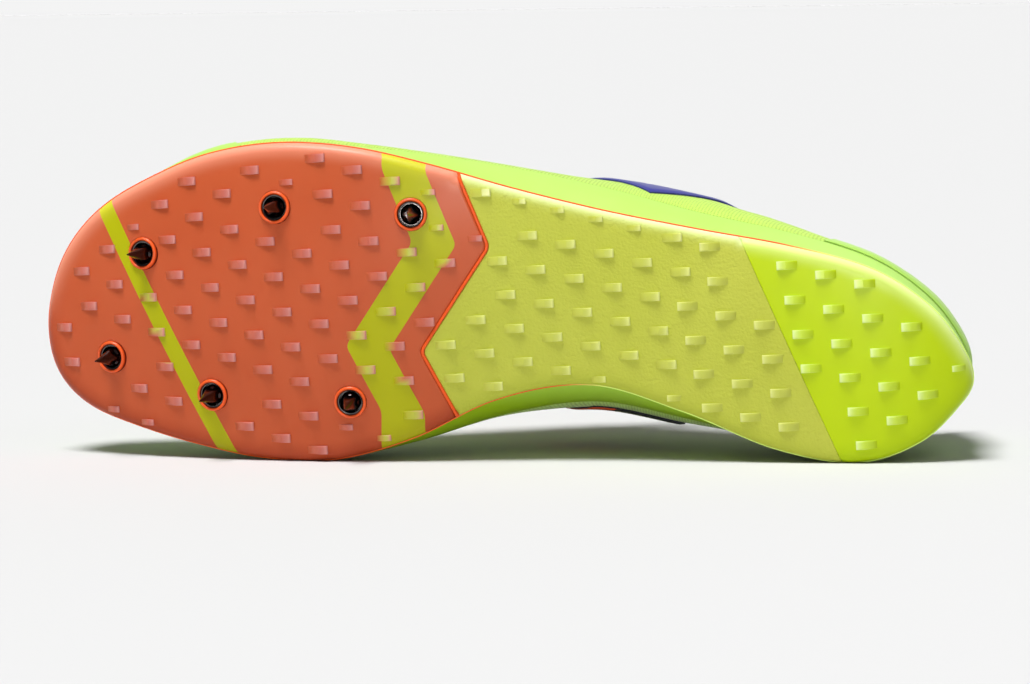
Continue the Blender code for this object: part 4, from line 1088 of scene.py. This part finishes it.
def bareEdge(points):
    along = points[:, 0] / last["length"]
    outer, inner = [faded(along, *plate[side]) for side in ("bareOuter", "bareInner")]
    return {"bare": np.where(points[:, 1] > 0, outer, inner)}


def makePlate():
    low = layers["outsole"] + layers["seam"]
    high = low + layers["plate"]
    middle = (low + high) / 2
    aboveFloor = laid(edgeRing(0.0, middle))[:, 2]
    lip = -np.clip(aboveFloor, 0.0, plate["lip"])  # no lip where the edge lies on the floor
    rings = [edgeRing(inset, height) for inset, height in (
        (0.0, low - 0.25 * mm), (lip, low - 0.1 * mm), (lip, middle), (0.0, high))]
    made = slabPiece("spikePlate", rings, lambda x, y: underside(x, y) + low,
                     lambda x, y: underside(x, y) + high, [plateEdgeNylon], marks=bareEdge)
    return place(made, "plate_edge", "spike_plate")


def makeRib():
    angle, y = stationAngle(zigzagLine[:, 0]), zigzagLine[:, 1]
    toEdge = np.minimum(last["ball"] * edgeAt(angle) - y, y - last["ball"] * edgeAt(-angle))
    line, toEdge = zigzagLine[toEdge > 0.2 * mm], toEdge[toEdge > 0.2 * mm]
    drop = layers["outsole"] * quarterRound(toEdge, field["edgeRound"])
    top = underside(line[:, 0], line[:, 1]) + drop - plate["ribProud"]
    half, soft = plate["ribWidth"] / 2, -0.15 * mm
    depth = -layers["outsole"] - layers["seam"]
    section = [(-half, depth), (-half, soft), (-0.6 * half, 0), (0.6 * half, 0), (half, soft), (half, depth)]
    ups = np.tile([0.0, 0.0, -1.0], (len(line), 1))
    points, faces = sweep(np.column_stack([line, top]), ups, section)
    return place(newPiece("zigzagRib", points, faces, [plateNylon], 50), "plate_edge")


boss = {"inner": 0.00392, "outer": 0.00484, "height": 0.0010, "round": 0.00042, "steps": 48}
socket = {"outer": 0.0038, "inner": 0.00344, "depth": 0.0016}
spike = {"flange": 0.0031, "root": 0.0022, "tip": 0.00022, "steps": 40}


def makeBosses():
    outer, inner, height, r = boss["outer"], boss["inner"], boss["height"], boss["round"]
    foot = -layers["outsole"]
    profile = [
        (outer + 0.25 * mm, foot), (outer + 0.1 * mm, 0.0), (outer, height - r),
        (outer - 0.3 * r, height - 0.3 * r), (outer - r, height), (inner + r, height),
        (inner + 0.3 * r, height - 0.3 * r), (inner, height - r), (inner, foot), (outer + 0.25 * mm, foot),
    ]
    ring = [1.0, 1.0, 0.0, 0.0, 0.0, 0.0, 0.0, 1.0, 1.0, 1.0]  # joints at the foot and at the seat
    points, faces = joined([turned(profile, at, way, boss["steps"]) for at, way in spikeFrames])
    marks = {"joint": np.tile(np.repeat(ring, boss["steps"]), len(spikeFrames))}
    return place(newPiece("socketBosses", points, faces, [bossNylon], 60, marks), "plate_edge")


def makeSockets():
    outer, inner, foot = socket["outer"], socket["inner"], -layers["outsole"]
    profile = [
        (0, foot), (outer, foot), (outer, 0.25 * mm), (outer - 0.1 * mm, 0.35 * mm), (inner, 0.30 * mm),
        (inner - 0.15 * mm, -socket["depth"]), (0, -socket["depth"]),
    ]
    for n, (at, way) in enumerate(spikeFrames, start=1):
        piece = newPiece(f"socket{n}", *turned(profile, at, way, boss["steps"]), [rimSteel], 30)
        place(piece, "socket_steel", f"socket_{n}")


def makeSpikes():
    # a domed flange, then a square root with soft corners that runs into a round point
    flange, root = spike["flange"], spike["root"]
    profile = [
        (0.0, -1.5), (flange, -1.5), (flange, -0.5), (0.97 * flange, -0.15), (0.88 * flange, 0.15),
        (1.12 * root, 0.32, 3.0), (root, 0.6, 5.0), (0.90 * root, 1.7, 5.0), (0.76 * root, 3.0, 3.2),
        (0.56 * root, 4.8, 2.3), (0.34 * root, 6.7), (0.17 * root, 8.2), (spike["tip"], 8.85), (0.0, 9.0),
    ]
    profile = [(radius, depth * mm, *square) for radius, depth, *square in profile]
    for n, (at, way) in enumerate(spikeFrames, start=1):
        shape = turned(profile, at, way, spike["steps"], math.radians(18 * n))
        place(newPiece(f"spike{n}", *shape, [spikeSteel], 28), "spike_steel", f"spike_{n}")


makePlate()
makeRib()
makeBosses()
makeSockets()
makeSpikes()
print("plate, bosses, sockets and spikes made")


# Midsole and insole

def innerShadeShare(points):
    # how much painted shade each point of the foam takes, most on the inner side, which faces down
    return {"inner": np.clip(0.5 - (points[:, 1] + 0.008) / 0.024, 0, 1)}


def makeMidsole():
    low = layers["plate"] + layers["outsole"] + 2 * layers["seam"]
    edge = edgeLine(roundAngles)
    foot = np.column_stack([edge, underside(edge[:, 0], edge[:, 1]) + low])
    head = np.column_stack([featherLine(roundAngles), featherHeight(roundAngles)])
    handle = foot + (head - foot) * np.array([0.72, 0.72, 0.42])
    rings = [(1 - s) ** 2 * foot + 2 * (1 - s) * s * handle + s**2 * head for s in np.linspace(0, 1, 17)]
    made = slabPiece("midsoleFoam", rings, lambda x, y: underside(x, y) + low, footbed, [foamLime],
                     14, 55, innerShadeShare)
    return place(made, "midsole_foam", "midsole")


def makeInsole():
    inset, thick = layers["upper"] + 2 * layers["seam"], layers["insole"]

    def level(height):
        return lambda x, y: footbed(x, y) + layers["insoleGap"] + height

    rings = []
    for more, height in ((0.0, 0.0), (0.0, 0.55 * thick), (0.3 * mm, 0.85 * thick), (0.9 * mm, thick)):
        plan = featherLine(roundAngles) - (inset + more) * outwardOf(featherLine, roundAngles)
        rings.append(np.column_stack([plan, level(height)(plan[:, 0], plan[:, 1])]))
    made = slabPiece("insoleSock", rings, level(0.0), level(thick), [sockKnit], 18, 50, mapped=True)
    return place(made, "sock_fabric", "insole")


makeMidsole()
makeInsole()
print("midsole and insole made")


# Upper: one shell with a rolled edge at collar and throat

creases = (
    # reach, share up the wall, half length, half width, depth, slant: soft bends at the flex line and the ankle
    (0.705, 0.86, 0.026, 0.0040, 0.0015, 0.25),
    (0.735, 0.80, 0.022, 0.0040, -0.0009, 0.20),
    (0.672, 0.62, 0.018, 0.0042, 0.0012, 0.40),
    (0.770, 0.72, 0.018, 0.0045, 0.0010, -0.10),
    (0.255, 0.62, 0.016, 0.0050, 0.0011, -0.50),
    (0.200, 0.72, 0.014, 0.0048, -0.0008, -0.40),
    (0.110, 0.60, 0.014, 0.0050, 0.0009, 0.30),
)


def creaseLift(angle, share):
    # how far the soft troughs and ridges move the wall
    x, height = last["length"] * reachAt(angle), 0.055 * share
    lift = np.zeros(np.broadcast(x, height).shape)
    for reach, at, length, width, depth, slant in creases:
        dx, dz = x - last["length"] * reach, height - 0.055 * at
        across = dx * math.cos(slant) + dz * math.sin(slant)
        along = -dx * math.sin(slant) + dz * math.cos(slant)
        lift -= depth * np.exp(-(across / width) ** 2 - (along / length) ** 2)
    return lift * np.clip(share / 0.2, 0, 1)


def wallLength(angle):
    v = wallEnd(angle)[:, None] * np.linspace(0, 1, 25)[None, :]
    points = wallCurve(np.broadcast_to(angle[:, None], v.shape), v)
    return np.linalg.norm(np.diff(points, axis=1), axis=2).sum(axis=1)


def stationsAround():
    # even angles with more of them where the throat ends
    end = angleOfReach(throat["end"])
    close = [angleOfReach(throat["end"] - s * throat["round"]) for s in np.linspace(0, 1, 15) ** 2]
    even = np.linspace(0, math.pi, fine["stations"] // 2 + 1)
    side = np.unique(np.round(np.concatenate([even, close]), 6))
    side = side[np.concatenate([[True], np.diff(side) > 0.002])]
    side[-1] = math.pi
    side[np.argmin(np.abs(side - end))] = end
    return np.concatenate([side, 2 * math.pi - side[-2:0:-1]])


wallAngles = stationsAround()


def makeUpper():
    angles, rim = wallAngles, layers["upper"]
    length = wallLength(angles)
    behind = np.clip((throat["top"] - reachAt(angles)) / 0.08, 0, 1)
    joinedRidge = reachAt(angles) >= throat["end"] - 1e-6
    opened = halfAt(angles) * last["ball"] + (1 - wallEnd(angles)) * length
    rolled = np.clip(opened / rim, 0, 1) * ~joinedRidge
    rowShares, outerLift, innerLift = [], [], []
    for share in np.linspace(0, 1, fine["wallRows"] + 1):
        at = (1 - rim / 2 / length) * share
        depth = rim + layers["padding"] * np.sin(math.pi * np.clip((at - 0.55) / 0.45, 0, 1)) * behind
        rowShares.append(at)
        outerLift.append(creaseLift(angles, at))
        innerLift.append(creaseLift(angles, at) - depth)
    for turn in np.arange(1, 6) * math.pi / 10:
        at = 1 - rim / 2 / length * (1 - math.sin(turn))
        drop = (1 - math.cos(turn)) * rim / 2 * rolled
        rowShares.append(at)
        outerLift.append(creaseLift(angles, at) - drop)
        innerLift.append(creaseLift(angles, at) - rim + drop)
    shares, outerLift, innerLift = [np.array(a).T for a in (rowShares, outerLift, innerLift)]
    column = angles[:, None]
    v = wallEnd(column) * shares
    outer, inner = wall(column, v, outerLift), wall(column, v, innerLift)
    columns, rows = shares.shape
    size = columns * rows
    faces = gridFaces(columns, rows, True)
    edge = []
    for i in range(columns):
        j = (i + 1) % columns
        edge.append((i * rows, j * rows, j * rows + size, i * rows + size))
        if not (joinedRidge[i] and joinedRidge[j]):
            a, b = i * rows + rows - 1, j * rows + rows - 1
            edge.append((a, b, b + size, a + size))
    indices = [0] * len(faces) + [1] * len(faces) + [0] * len(edge)
    faces += [tuple(k + size for k in face[::-1]) for face in faces] + edge
    run = np.broadcast_to(runOf(outer[:, rows // 2])[:, None], shares.shape)
    uv = np.stack([run, shares * length[:, None]], axis=-1).reshape(-1, 2)
    points = np.concatenate([outer.reshape(-1, 3), inner.reshape(-1, 3)])
    return newPiece("upperShell", points, faces, [meshLime, liningKnit], 50, None, np.tile(uv, (2, 1)), indices)


def eyeletPlaces():
    # (reach, across) of each row of eyelets; across is the share of the wall from the ridge
    rows = []
    for reach in np.linspace(throat["eyeletFront"], throat["eyeletBack"], throat["eyeletRows"]):
        angle = angleOfReach(reach)
        end = wallEnd(angle)
        length = np.linalg.norm(wall(angle, end) - wall(angle, end - 0.01)) / 0.01
        rows.append((float(reach), float(1 - end + throat["eyeletEdge"] / length)))
    return rows


def eyeletFrames():
    frames = []
    for reach, across in eyeletPlaces():
        for angle in (angleOfReach(reach), -angleOfReach(reach)):
            at = Vector(wall(angle, 1 - across, 0.0))
            way = (Vector(wall(angle, 1 - across, 0.001)) - at).normalized()
            frames.append((at, way))
    return frames


def punchEyelets(piece, name):
    r = throat["eyeletRadius"]
    profile = [(0, -6 * mm), (r, -6 * mm), (r, 6 * mm), (0, 6 * mm)]
    cutter = newPiece(name, *joined([turned(profile, at, way, 24) for at, way in eyeletFrames()]), [])
    modifier = piece.modifiers.new("eyelets", "BOOLEAN")
    modifier.operation, modifier.object, modifier.solver = "DIFFERENCE", cutter, "EXACT"
    applied(piece)
    bpy.data.objects.remove(cutter)
    return piece


upper = place(punchEyelets(makeUpper(), "upperPunch"), "upper_mesh", "upper")
print("upper made")


# Films welded on the upper, each a patch of the wall with a thin rounded edge

def sheetPiece(name, top, base, materials, uv, indices=None, sharp=50):
    points = np.concatenate([top.reshape(-1, 3), base.reshape(-1, 3)])
    uv = np.tile(np.stack(uv, axis=-1).reshape(-1, 2), (2, 1))
    return newPiece(name, points, sheetFaces(*top.shape[:2]), materials, sharp, None, uv, indices)


def fromEnds(count):
    return np.minimum(np.arange(count), count - 1 - np.arange(count))


def filmPatch(name, angles, low, high, rows=14, fade=1, meets=None):
    # low and high: shares of the wall at each angle; meets: where the upper edge runs into its mirror piece
    ends = np.minimum(1, fromEnds(len(angles)) / fade)
    thick = ends[:, None] * np.minimum(1, fromEnds(rows + 1))[None, :]
    if meets is not None:
        thick[:, -1] = np.where(meets, ends, thick[:, -1])
    column = angles[:, None]
    low, high = np.broadcast_to(low, angles.shape)[:, None], high[:, None]
    at = low + (high - low) * np.linspace(0, 1, rows + 1)[None, :]
    lift = creaseLift(column, at) + layers["filmGap"] * 0.4
    v = wallEnd(column) * at
    top = wall(column, v, lift + layers["filmGap"] * 0.6 + layers["film"] * (0.2 + 0.8 * thick))
    run = np.broadcast_to(np.arange(1, len(angles) + 1)[:, None] * mm, at.shape)
    return sheetPiece(name, top, wall(column, v, lift), [filmLime], (run, at * 0.05))


# end: where along the shoe the film ends; the rest says how high it reaches up the wall
bumper = {"end": 0.80, "high": 0.40, "sink": 0.10, "sinkPower": 2, "endPower": 8, "rows": 14}
counter = {"end": 0.165, "high": 0.64, "sink": 0.14, "sinkPower": 3, "endPower": 10, "rows": 20}
stay = {"back": 0.385, "front": 0.672, "width": 0.0135, "wider": 0.0020, "edge": 0.0009, "rows": 16}


def cupFilm(name, shape, middle):
    # a film round the heel or the toe, its upper edge coming down at both ends
    reach = abs(math.acos(1 - 2 * shape["end"]) - middle)
    angles = np.linspace(middle - reach, middle + reach, 90)
    toEnd = np.abs(angles - middle) / reach
    high = shape["high"] - shape["sink"] * toEnd ** shape["sinkPower"]
    high *= np.maximum(np.sqrt(1 - toEnd ** shape["endPower"]), 0.05)
    return filmPatch(name, angles, 0.001, high, shape["rows"], 8)


def stayFilm(name, side):
    angles = np.linspace(angleOfReach(stay["back"]), angleOfReach(stay["front"]), 110)
    reach, length = reachAt(angles), wallLength(angles)
    toFront = faded(reach, throat["end"], stay["front"])
    width = stay["width"] + stay["wider"] * np.clip((reach - 0.60) / 0.07, 0, 1)
    width = width * np.maximum(np.sqrt(1 - toFront**4), 0.1)
    high = 1 - stay["edge"] / length * np.clip((throat["end"] - reach) / 0.01, 0, 1)
    low, meets = high - width / length, reach >= throat["end"]
    return punchEyelets(filmPatch(name, side * angles, low, high, stay["rows"], 2, meets), name + "Punch")


place(cupFilm("toeBumper", bumper, math.pi), "bumper_film", "toe_bumper")
place(cupFilm("heelCounter", counter, 0.0), "counter_film", "heel_counter")
place(stayFilm("eyestayOuter", 1), "eyestay_film", "eyestay")
place(stayFilm("eyestayInner", -1), "eyestay_film")


def wallAt(x, z, side):
    # the (angle, v) of the wall at places seen from the side
    angle = stationAngle(x)
    v = np.full(np.shape(x), 0.4)
    for _ in range(30):
        here = wallCurve(side * angle, v)
        da = (wallCurve(side * (angle + 1e-4), v) - here) / 1e-4
        dv = (wallCurve(side * angle, v + 1e-4) - here) / 1e-4
        det = da[..., 0] * dv[..., 2] - dv[..., 0] * da[..., 2]
        ex, ez = x - here[..., 0], z - here[..., 2]
        turn, rise = (ex * dv[..., 2] - ez * dv[..., 0]) / det, (ez * da[..., 0] - ex * da[..., 2]) / det
        angle = np.clip(angle + np.clip(turn, -0.1, 0.1), 0.02, math.pi - 0.02)
        v = np.clip(v + np.clip(rise, -0.1, 0.1), 0.001, 0.999)
    return side * angle, v


def sidePanel(name, corners, side, materials, zones=None, columns=40, rows=26):
    # a film whose outline is seen from the side: corners are (along, share of the collar's height)
    a, b, c, d = np.array(corners) * np.array([last["length"], last["collar"]])
    s, t = np.meshgrid(np.linspace(0, 1, columns), np.linspace(0, 1, rows), indexing="ij")
    s, t = s[..., None], t[..., None]
    seen = (1 - s) * (1 - t) * a + s * (1 - t) * b + s * t * c + (1 - s) * t * d
    angle, v = wallAt(seen[..., 0], seen[..., 1], side)
    inside = np.minimum(fromEnds(columns)[:, None], fromEnds(rows)[None, :]) > 0
    lift = creaseLift(angle, v / wallEnd(angle)) + layers["filmGap"] * 0.4
    top = wall(angle, v, lift + layers["filmGap"] * 0.6 + layers["film"] * np.where(inside, 1, 0.4))
    indices = None
    if zones:
        part = zones(s[:-1, :-1, 0] + 0.5 / (columns - 1), t[:-1, :-1, 0] + 0.5 / (rows - 1)).ravel()
        edges = 2 * (columns + rows - 2)
        indices = np.concatenate([part, part, np.ones(edges, int)])
    return sheetPiece(name, top, wall(angle, v, lift), materials, (seen[..., 0], seen[..., 1]), indices)


def innerZones(s, t):
    # orange at the front, a black trim and a dark mesh behind it
    return np.where(s > 0.74, 0, np.where((s > 0.70) | (t < 0.05), 1, 2))


outerPanel = ((0.225, 0.63), (0.355, 0.355), (0.440, 0.69), (0.330, 0.80))
innerPanel = ((0.300, 0.37), (0.400, 0.37), (0.480, 0.74), (0.380, 0.76))
innerFinishes = [filmOrange, filmBlack, meshDark]
place(sidePanel("outerPanel", outerPanel, 1, [filmBlue]), "panel_blue", "outer_panel")
place(sidePanel("innerPanel", innerPanel, -1, innerFinishes, innerZones), "panel_orange", "inner_panel")
print("films made")


# Stitches along the stay and the collar, set out by the same tree

stitch = {
    "length": 0.0024, "pitch": 0.0034, "width": 0.00055, "height": 0.00035,  # coarser than sewn, to be seen
    "stayInset": 0.0126, "collarInset": 0.0042, "stayLift": 0.0009,
}


def stitchShape():
    # a short bar with soft ends, a unit long, wide and high
    section = ((-0.5, -0.3), (-0.3, 0.8), (0.3, 0.8), (0.5, -0.3))
    lengthwise = ((-0.5, 0.35), (-0.3, 1.0), (0.3, 1.0), (0.5, 0.35))
    return smallShape("stitch", [[(x, y * size, z * size) for y, z in section] for x, size in lengthwise])


def stitchRow(angles, inset, lift):
    # points and turns along a line that runs inset below the wall's top edge
    share = 1 - inset / wallLength(angles)
    v, lift = wallEnd(angles) * share, creaseLift(angles, share) + lift
    path, raised = wall(angles, v, lift), wall(angles, v, lift + 1 * mm)
    run = runOf(path)
    at = np.arange(stitch["pitch"], run[-1] - stitch["pitch"], stitch["pitch"])
    points = readOff(at, run, path)
    along = unit(readOff(at + 0.5 * mm, run, path) - points)
    up = unit(readOff(at, run, raised - path))
    across = unit(np.cross(up, along))
    return points, np.stack([along, across, np.cross(along, across)], axis=-1)


def makeStitches():
    side = np.linspace(angleOfReach(0.392), angleOfReach(0.636), 120)
    collar = np.linspace(-angleOfReach(0.37), angleOfReach(0.37), 300)
    rows = [stitchRow(angles, stitch["stayInset"], stitch["stayLift"]) for angles in (side, -side)]
    rows.append(stitchRow(collar, stitch["collarInset"], 0.0))
    points, ways = [np.concatenate(values) for values in zip(*rows)]
    size = (stitch["length"], stitch["width"], stitch["height"])
    made = setOut("seamStitches", points, ways, np.ones(len(points)), stitchShape(), size, stitchThread)
    return place(made, "upper_mesh")


makeStitches()
print("stitches made")


# Tongue and lace

tongue = {
    "front": 0.700, "root": 0.478, "spread": 0.31, "above": 0.0400, "taper": 0.50,
    "columns": 30, "rows": 40, "topRows": 20,
}
lace = {
    "width": 0.0060, "thickness": 0.0012, "gap": 0.0010, "insideEdge": 0.050, "flat": 0.035, "through": 0.0034,
}


def tongueSurface():
    # sections of the tongue's two faces from its front end to its tip
    spread = np.linspace(-1, 1, tongue["columns"] + 1)
    under = -layers["upper"] - 2 * layers["seam"]
    plump = layers["tongue"] * (1 - np.abs(spread) ** 6)
    low, high = [], []
    for reach in np.linspace(tongue["front"], tongue["root"], tongue["rows"]):
        angle = angleOfReach(reach)
        around = np.where(spread < 0, -angle, angle)
        v = 1 - tongue["spread"] * np.abs(spread)
        high.append(wall(around, v, np.full(len(v), under)))
        low.append(wall(around, v, under - np.maximum(plump, 0.3 * mm)))
    middle = tongue["columns"] // 2
    way = unit(high[-1][middle] - high[-4][middle])
    rootHigh, rootLow = high[-1], low[-1]
    centre, core = rootHigh[middle], (rootHigh + rootLow) / 2
    for share in np.linspace(0, 1, tongue["topRows"] + 1)[1:]:
        narrow = 1 - tongue["taper"] * share
        rounding = math.sqrt(max(1 - max((share - 0.86) / 0.14, 0) ** 2, 0.0))
        for rows, root in ((low, rootLow), (high, rootHigh)):
            flat = core + (root - core) * max(rounding, 0.15)
            rows.append(centre + (flat - centre) * narrow + way * tongue["above"] * share)
    return np.array(low), np.array(high)


tongueLow, tongueHigh = tongueSurface()


def makeTongue():
    shape = tongueHigh.shape[:2]
    run = np.broadcast_to(runOf(tongueHigh[:, shape[1] // 2])[:, None], shape)
    across = np.broadcast_to(np.linspace(0, 0.05, shape[1]), shape)
    return sheetPiece("tongueKnit", tongueHigh, tongueLow, [meshLime], (run, across), sharp=60)


tonguePad = place(makeTongue(), "tongue_mesh", "tongue")


def onTongue(reach, across):
    middle = tongue["columns"] // 2
    x = tongueHigh[:, middle, 0]
    row = float(np.interp(-last["length"] * reach, -x, np.arange(len(x))))
    column = middle + np.clip(across / tongue["spread"], -1, 1) * middle
    r, c = min(int(row), len(x) - 2), min(int(column), 2 * middle - 1)
    a, b = row - r, column - c
    before = tongueHigh[r, c] * (1 - b) + tongueHigh[r, c + 1] * b
    after = tongueHigh[r + 1, c] * (1 - b) + tongueHigh[r + 1, c + 1] * b
    return before * (1 - a) + after * a


def laceKeys(start, end, lift):
    # where the band passes, its normals there and its shares of the full width
    over = layers["filmGap"] + layers["film"] + 0.35 * mm
    heights = {"under": -lace["through"], "hole": over - 0.5 * mm, "stay": over + lift, "edge": over + lift}
    shares = {"under": 0.45, "hole": 0.52, "stay": 0.86, "edge": 1.0, "tongue": 1.0}
    insides = [1 - float(wallEnd(angleOfReach(reach))) - lace["insideEdge"] for reach, _ in (start, end)]
    passed = [(math.copysign(inside, eyelet[1]), kind) for inside, eyelet, kind in (
        (insides[0], start, "edge"), (lace["flat"], start, "tongue"),
        (lace["flat"], end, "tongue"), (insides[1], end, "edge"))]
    places = [(0.0, "under"), (0.0, "hole"), (0.06, "stay")]
    places += [((start[1] - at) / (start[1] - end[1]), kind) for at, kind in passed]
    places += [(0.94, "stay"), (1.0, "hole"), (1.0, "under")]
    keys, normals = [], []
    for t, kind in places:
        reach, across = [a + (b - a) * t for a, b in zip(start, end)]
        angle = angleOfReach(reach)
        edge = 1 - float(wallEnd(angle))
        rims = [wall(turn, 1 - edge, 0.001) - wall(turn, 1 - edge) for turn in (angle, -angle)]
        lean = min(max((across / edge + 1) / 2, 0), 1)
        normal = unit(rims[0] * lean + rims[1] * (1 - lean))
        if kind == "tongue":
            keys.append(onTongue(reach, across) + normal * (lace["gap"] + lift + 0.2 * mm))
        else:
            keys.append(wall(math.copysign(angle, across), 1 - abs(across), heights[kind]))
        normals.append(normal)
    return np.array(keys), np.array(normals), [shares[kind] for _, kind in places]


def laceStrip(start, end, lift):
    # up out of one eyelet, over the stay, across the tongue and down into the next eyelet
    keys, normals, shares = laceKeys(start, end, lift)
    run = np.maximum(np.linalg.norm(np.diff(keys, axis=0), axis=1), 0.2 * mm)
    run = np.concatenate([[0], np.cumsum(run)])
    at = np.linspace(0, run[-1], 44)
    slope = np.gradient(keys, run, axis=0) * 0.7
    i = np.clip(np.searchsorted(run, at, side="right") - 1, 0, len(run) - 2)
    step = (run[i + 1] - run[i])[:, None]
    t = (at - run[i])[:, None] / step
    centres = cubic(t, step, keys[i], slope[i], keys[i + 1], slope[i + 1])
    side = np.cross((1 - t) * normals[i] + t * normals[i + 1], unit(keys[-1] - keys[0]))
    ups = np.cross(unit(np.gradient(centres, axis=0)), side)
    width = np.interp(at, run, shares)
    sizes = np.stack([lace["width"] * width, lace["thickness"] * (1 + 0.6 * (1 - width))], axis=-1) / 2
    turn = np.linspace(0, 2 * math.pi, 15)[:-1]
    c, s = np.cos(turn), np.sin(turn)
    flatRound = np.stack([np.sign(c) * np.abs(c) ** 0.5, s * np.abs(s) ** -0.2], axis=-1)
    points, faces = sweep(centres + unit(ups) * 0.6 * mm, ups, flatRound[None] * sizes[:, None, :])
    around = np.linspace(0, 2 * lace["width"], len(turn))
    return points, faces, np.stack([np.repeat(at, len(turn)), np.tile(around, len(at))], axis=-1)


def makeLace():
    rows = eyeletPlaces()
    ends = [(rows[0], (rows[0][0], -rows[0][1]), 0.0)]
    for (reach, across), (nextReach, nextAcross) in zip(rows, rows[1:]):
        for side, lift in ((1, 0.0), (-1, 1.15 * lace["thickness"])):
            ends.append(((reach, side * across), (nextReach, -side * nextAcross), lift))
    strips = [laceStrip(*end) for end in ends]
    points, faces = joined([strip[:2] for strip in strips])
    uv = np.concatenate([strip[2] for strip in strips])
    return newPiece("braidedLace", points, faces, [laceTape], 60, None, uv)


place(makeLace(), "lace_cord", "lace")
print("tongue and lace made")


# Floor, light and camera

studio = {"rings": (0.4, 2.0, 10.0, 90.0), "pale": "#C9C9C9", "drop": 0.0002}


def makeFloor():
    # one flat pale sheet that runs on to the horizon
    steps = 64
    turns = np.arange(steps) * 2 * math.pi / steps
    points = [(0.0, 0.0, -studio["drop"])]
    for radius in studio["rings"]:
        points += [(radius * math.cos(turn), radius * math.sin(turn), -studio["drop"]) for turn in turns]
    faces = [(0, 1 + k, 1 + (k + 1) % steps) for k in range(steps)]
    faces += [tuple(1 + k for k in face[::-1]) for face in tubeFaces(len(studio["rings"]), steps)]
    mesh = bpy.data.meshes.new("studioFloor")
    mesh.from_pydata(points, [], faces)
    # matt background paper
    paper = newFinish("pale studio paper", Base_Color=linear(studio["pale"]), Roughness=0.9, IOR=1.3,
                      Specular_IOR_Level=0.0)[0]
    mesh.materials.append(paper)
    inScene("studioFloor", mesh)


light = {
    "tentFront": 0.07, "tentBack": 0.904, "tentAbove": 0.14,  # brightness of the light tent, by direction
    "keyFrom": (-0.25, -0.36, 1.30), "keyStrength": 4.3, "keyAngle": math.radians(24),
    "fillFrom": (0.10, -1.30, 0.06), "fillStrength": 1.15, "fillAngle": math.radians(12),
    "glintFrom": (0.55, -0.9, 0.95), "glintSize": 0.30, "glintWatts": 0.8,
}


def newLamp(name, kind, start):
    data = bpy.data.lights.new(name, kind)
    lamp = inScene(name, data)
    lamp.location = start
    lamp.rotation_euler = (Vector((0, -0.04, 0.04)) - Vector(start)).to_track_quat("-Z", "Y").to_euler()
    return data


def makeLight():
    key = newLamp("overhead key", "SUN", light["keyFrom"])
    key.energy, key.angle = light["keyStrength"], light["keyAngle"]
    fill = newLamp("low front fill", "SUN", light["fillFrom"])
    fill.energy, fill.angle = light["fillStrength"], light["fillAngle"]
    glint = newLamp("small softbox", "AREA", light["glintFrom"])
    glint.energy, glint.size = light["glintWatts"], light["glintSize"]
    world = bpy.data.worlds.new("light tent")
    world.use_nodes = True
    tree = world.node_tree
    way = node(tree, "ShaderNodeTexCoord").outputs["Generated"]
    split = node(tree, "ShaderNodeSeparateXYZ", {0: way})
    around = node(tree, "ShaderNodeMapRange", {
        "Value": split.outputs["Y"], "From Min": 0.75, "From Max": 0.95,
        "To Min": light["tentFront"], "To Max": light["tentBack"]})
    above = node(tree, "ShaderNodeMapRange", {
        "Value": split.outputs["Z"], "From Min": 0.12, "From Max": 0.70,
        "To Min": 0.0, "To Max": light["tentAbove"]})
    strength = reckon(tree, "ADD", around.outputs[0], above.outputs[0])
    tree.links.new(strength, tree.nodes["Background"].inputs["Strength"])
    tree.nodes["Background"].inputs["Color"].default_value = (1, 1, 1, 1)
    bpy.context.scene.world = world


view = {
    "eye": (0.0139, 0.1764, -1.1251), "aim": (0.1354, 0.0014, 0.0029), "up": (0.08, 0.9863, 0.1444),  # standing
    "focal": 3871.0, "imageWidth": 1030.0,
}


def makeCamera():
    data = bpy.data.cameras.new("camera")
    data.sensor_width = 36.0
    data.lens = view["focal"] / view["imageWidth"] * data.sensor_width
    data.clip_start, data.clip_end = 0.05, 200.0
    eye, aim = [Vector(laid(view[end])) for end in ("eye", "aim")]
    way = (aim - eye).normalized()
    right = way.cross(Vector(layTurn @ np.array(view["up"]))).normalized()
    camera = inScene("camera", data)
    turn = Matrix((right, right.cross(way), -way)).transposed().to_4x4()
    camera.matrix_world = Matrix.Translation(eye) @ turn
    bpy.context.scene.camera = camera


makeFloor()
makeLight()
makeCamera()
bpy.context.scene.view_settings.view_transform = "Standard"
bpy.context.scene.view_settings.look = "None"
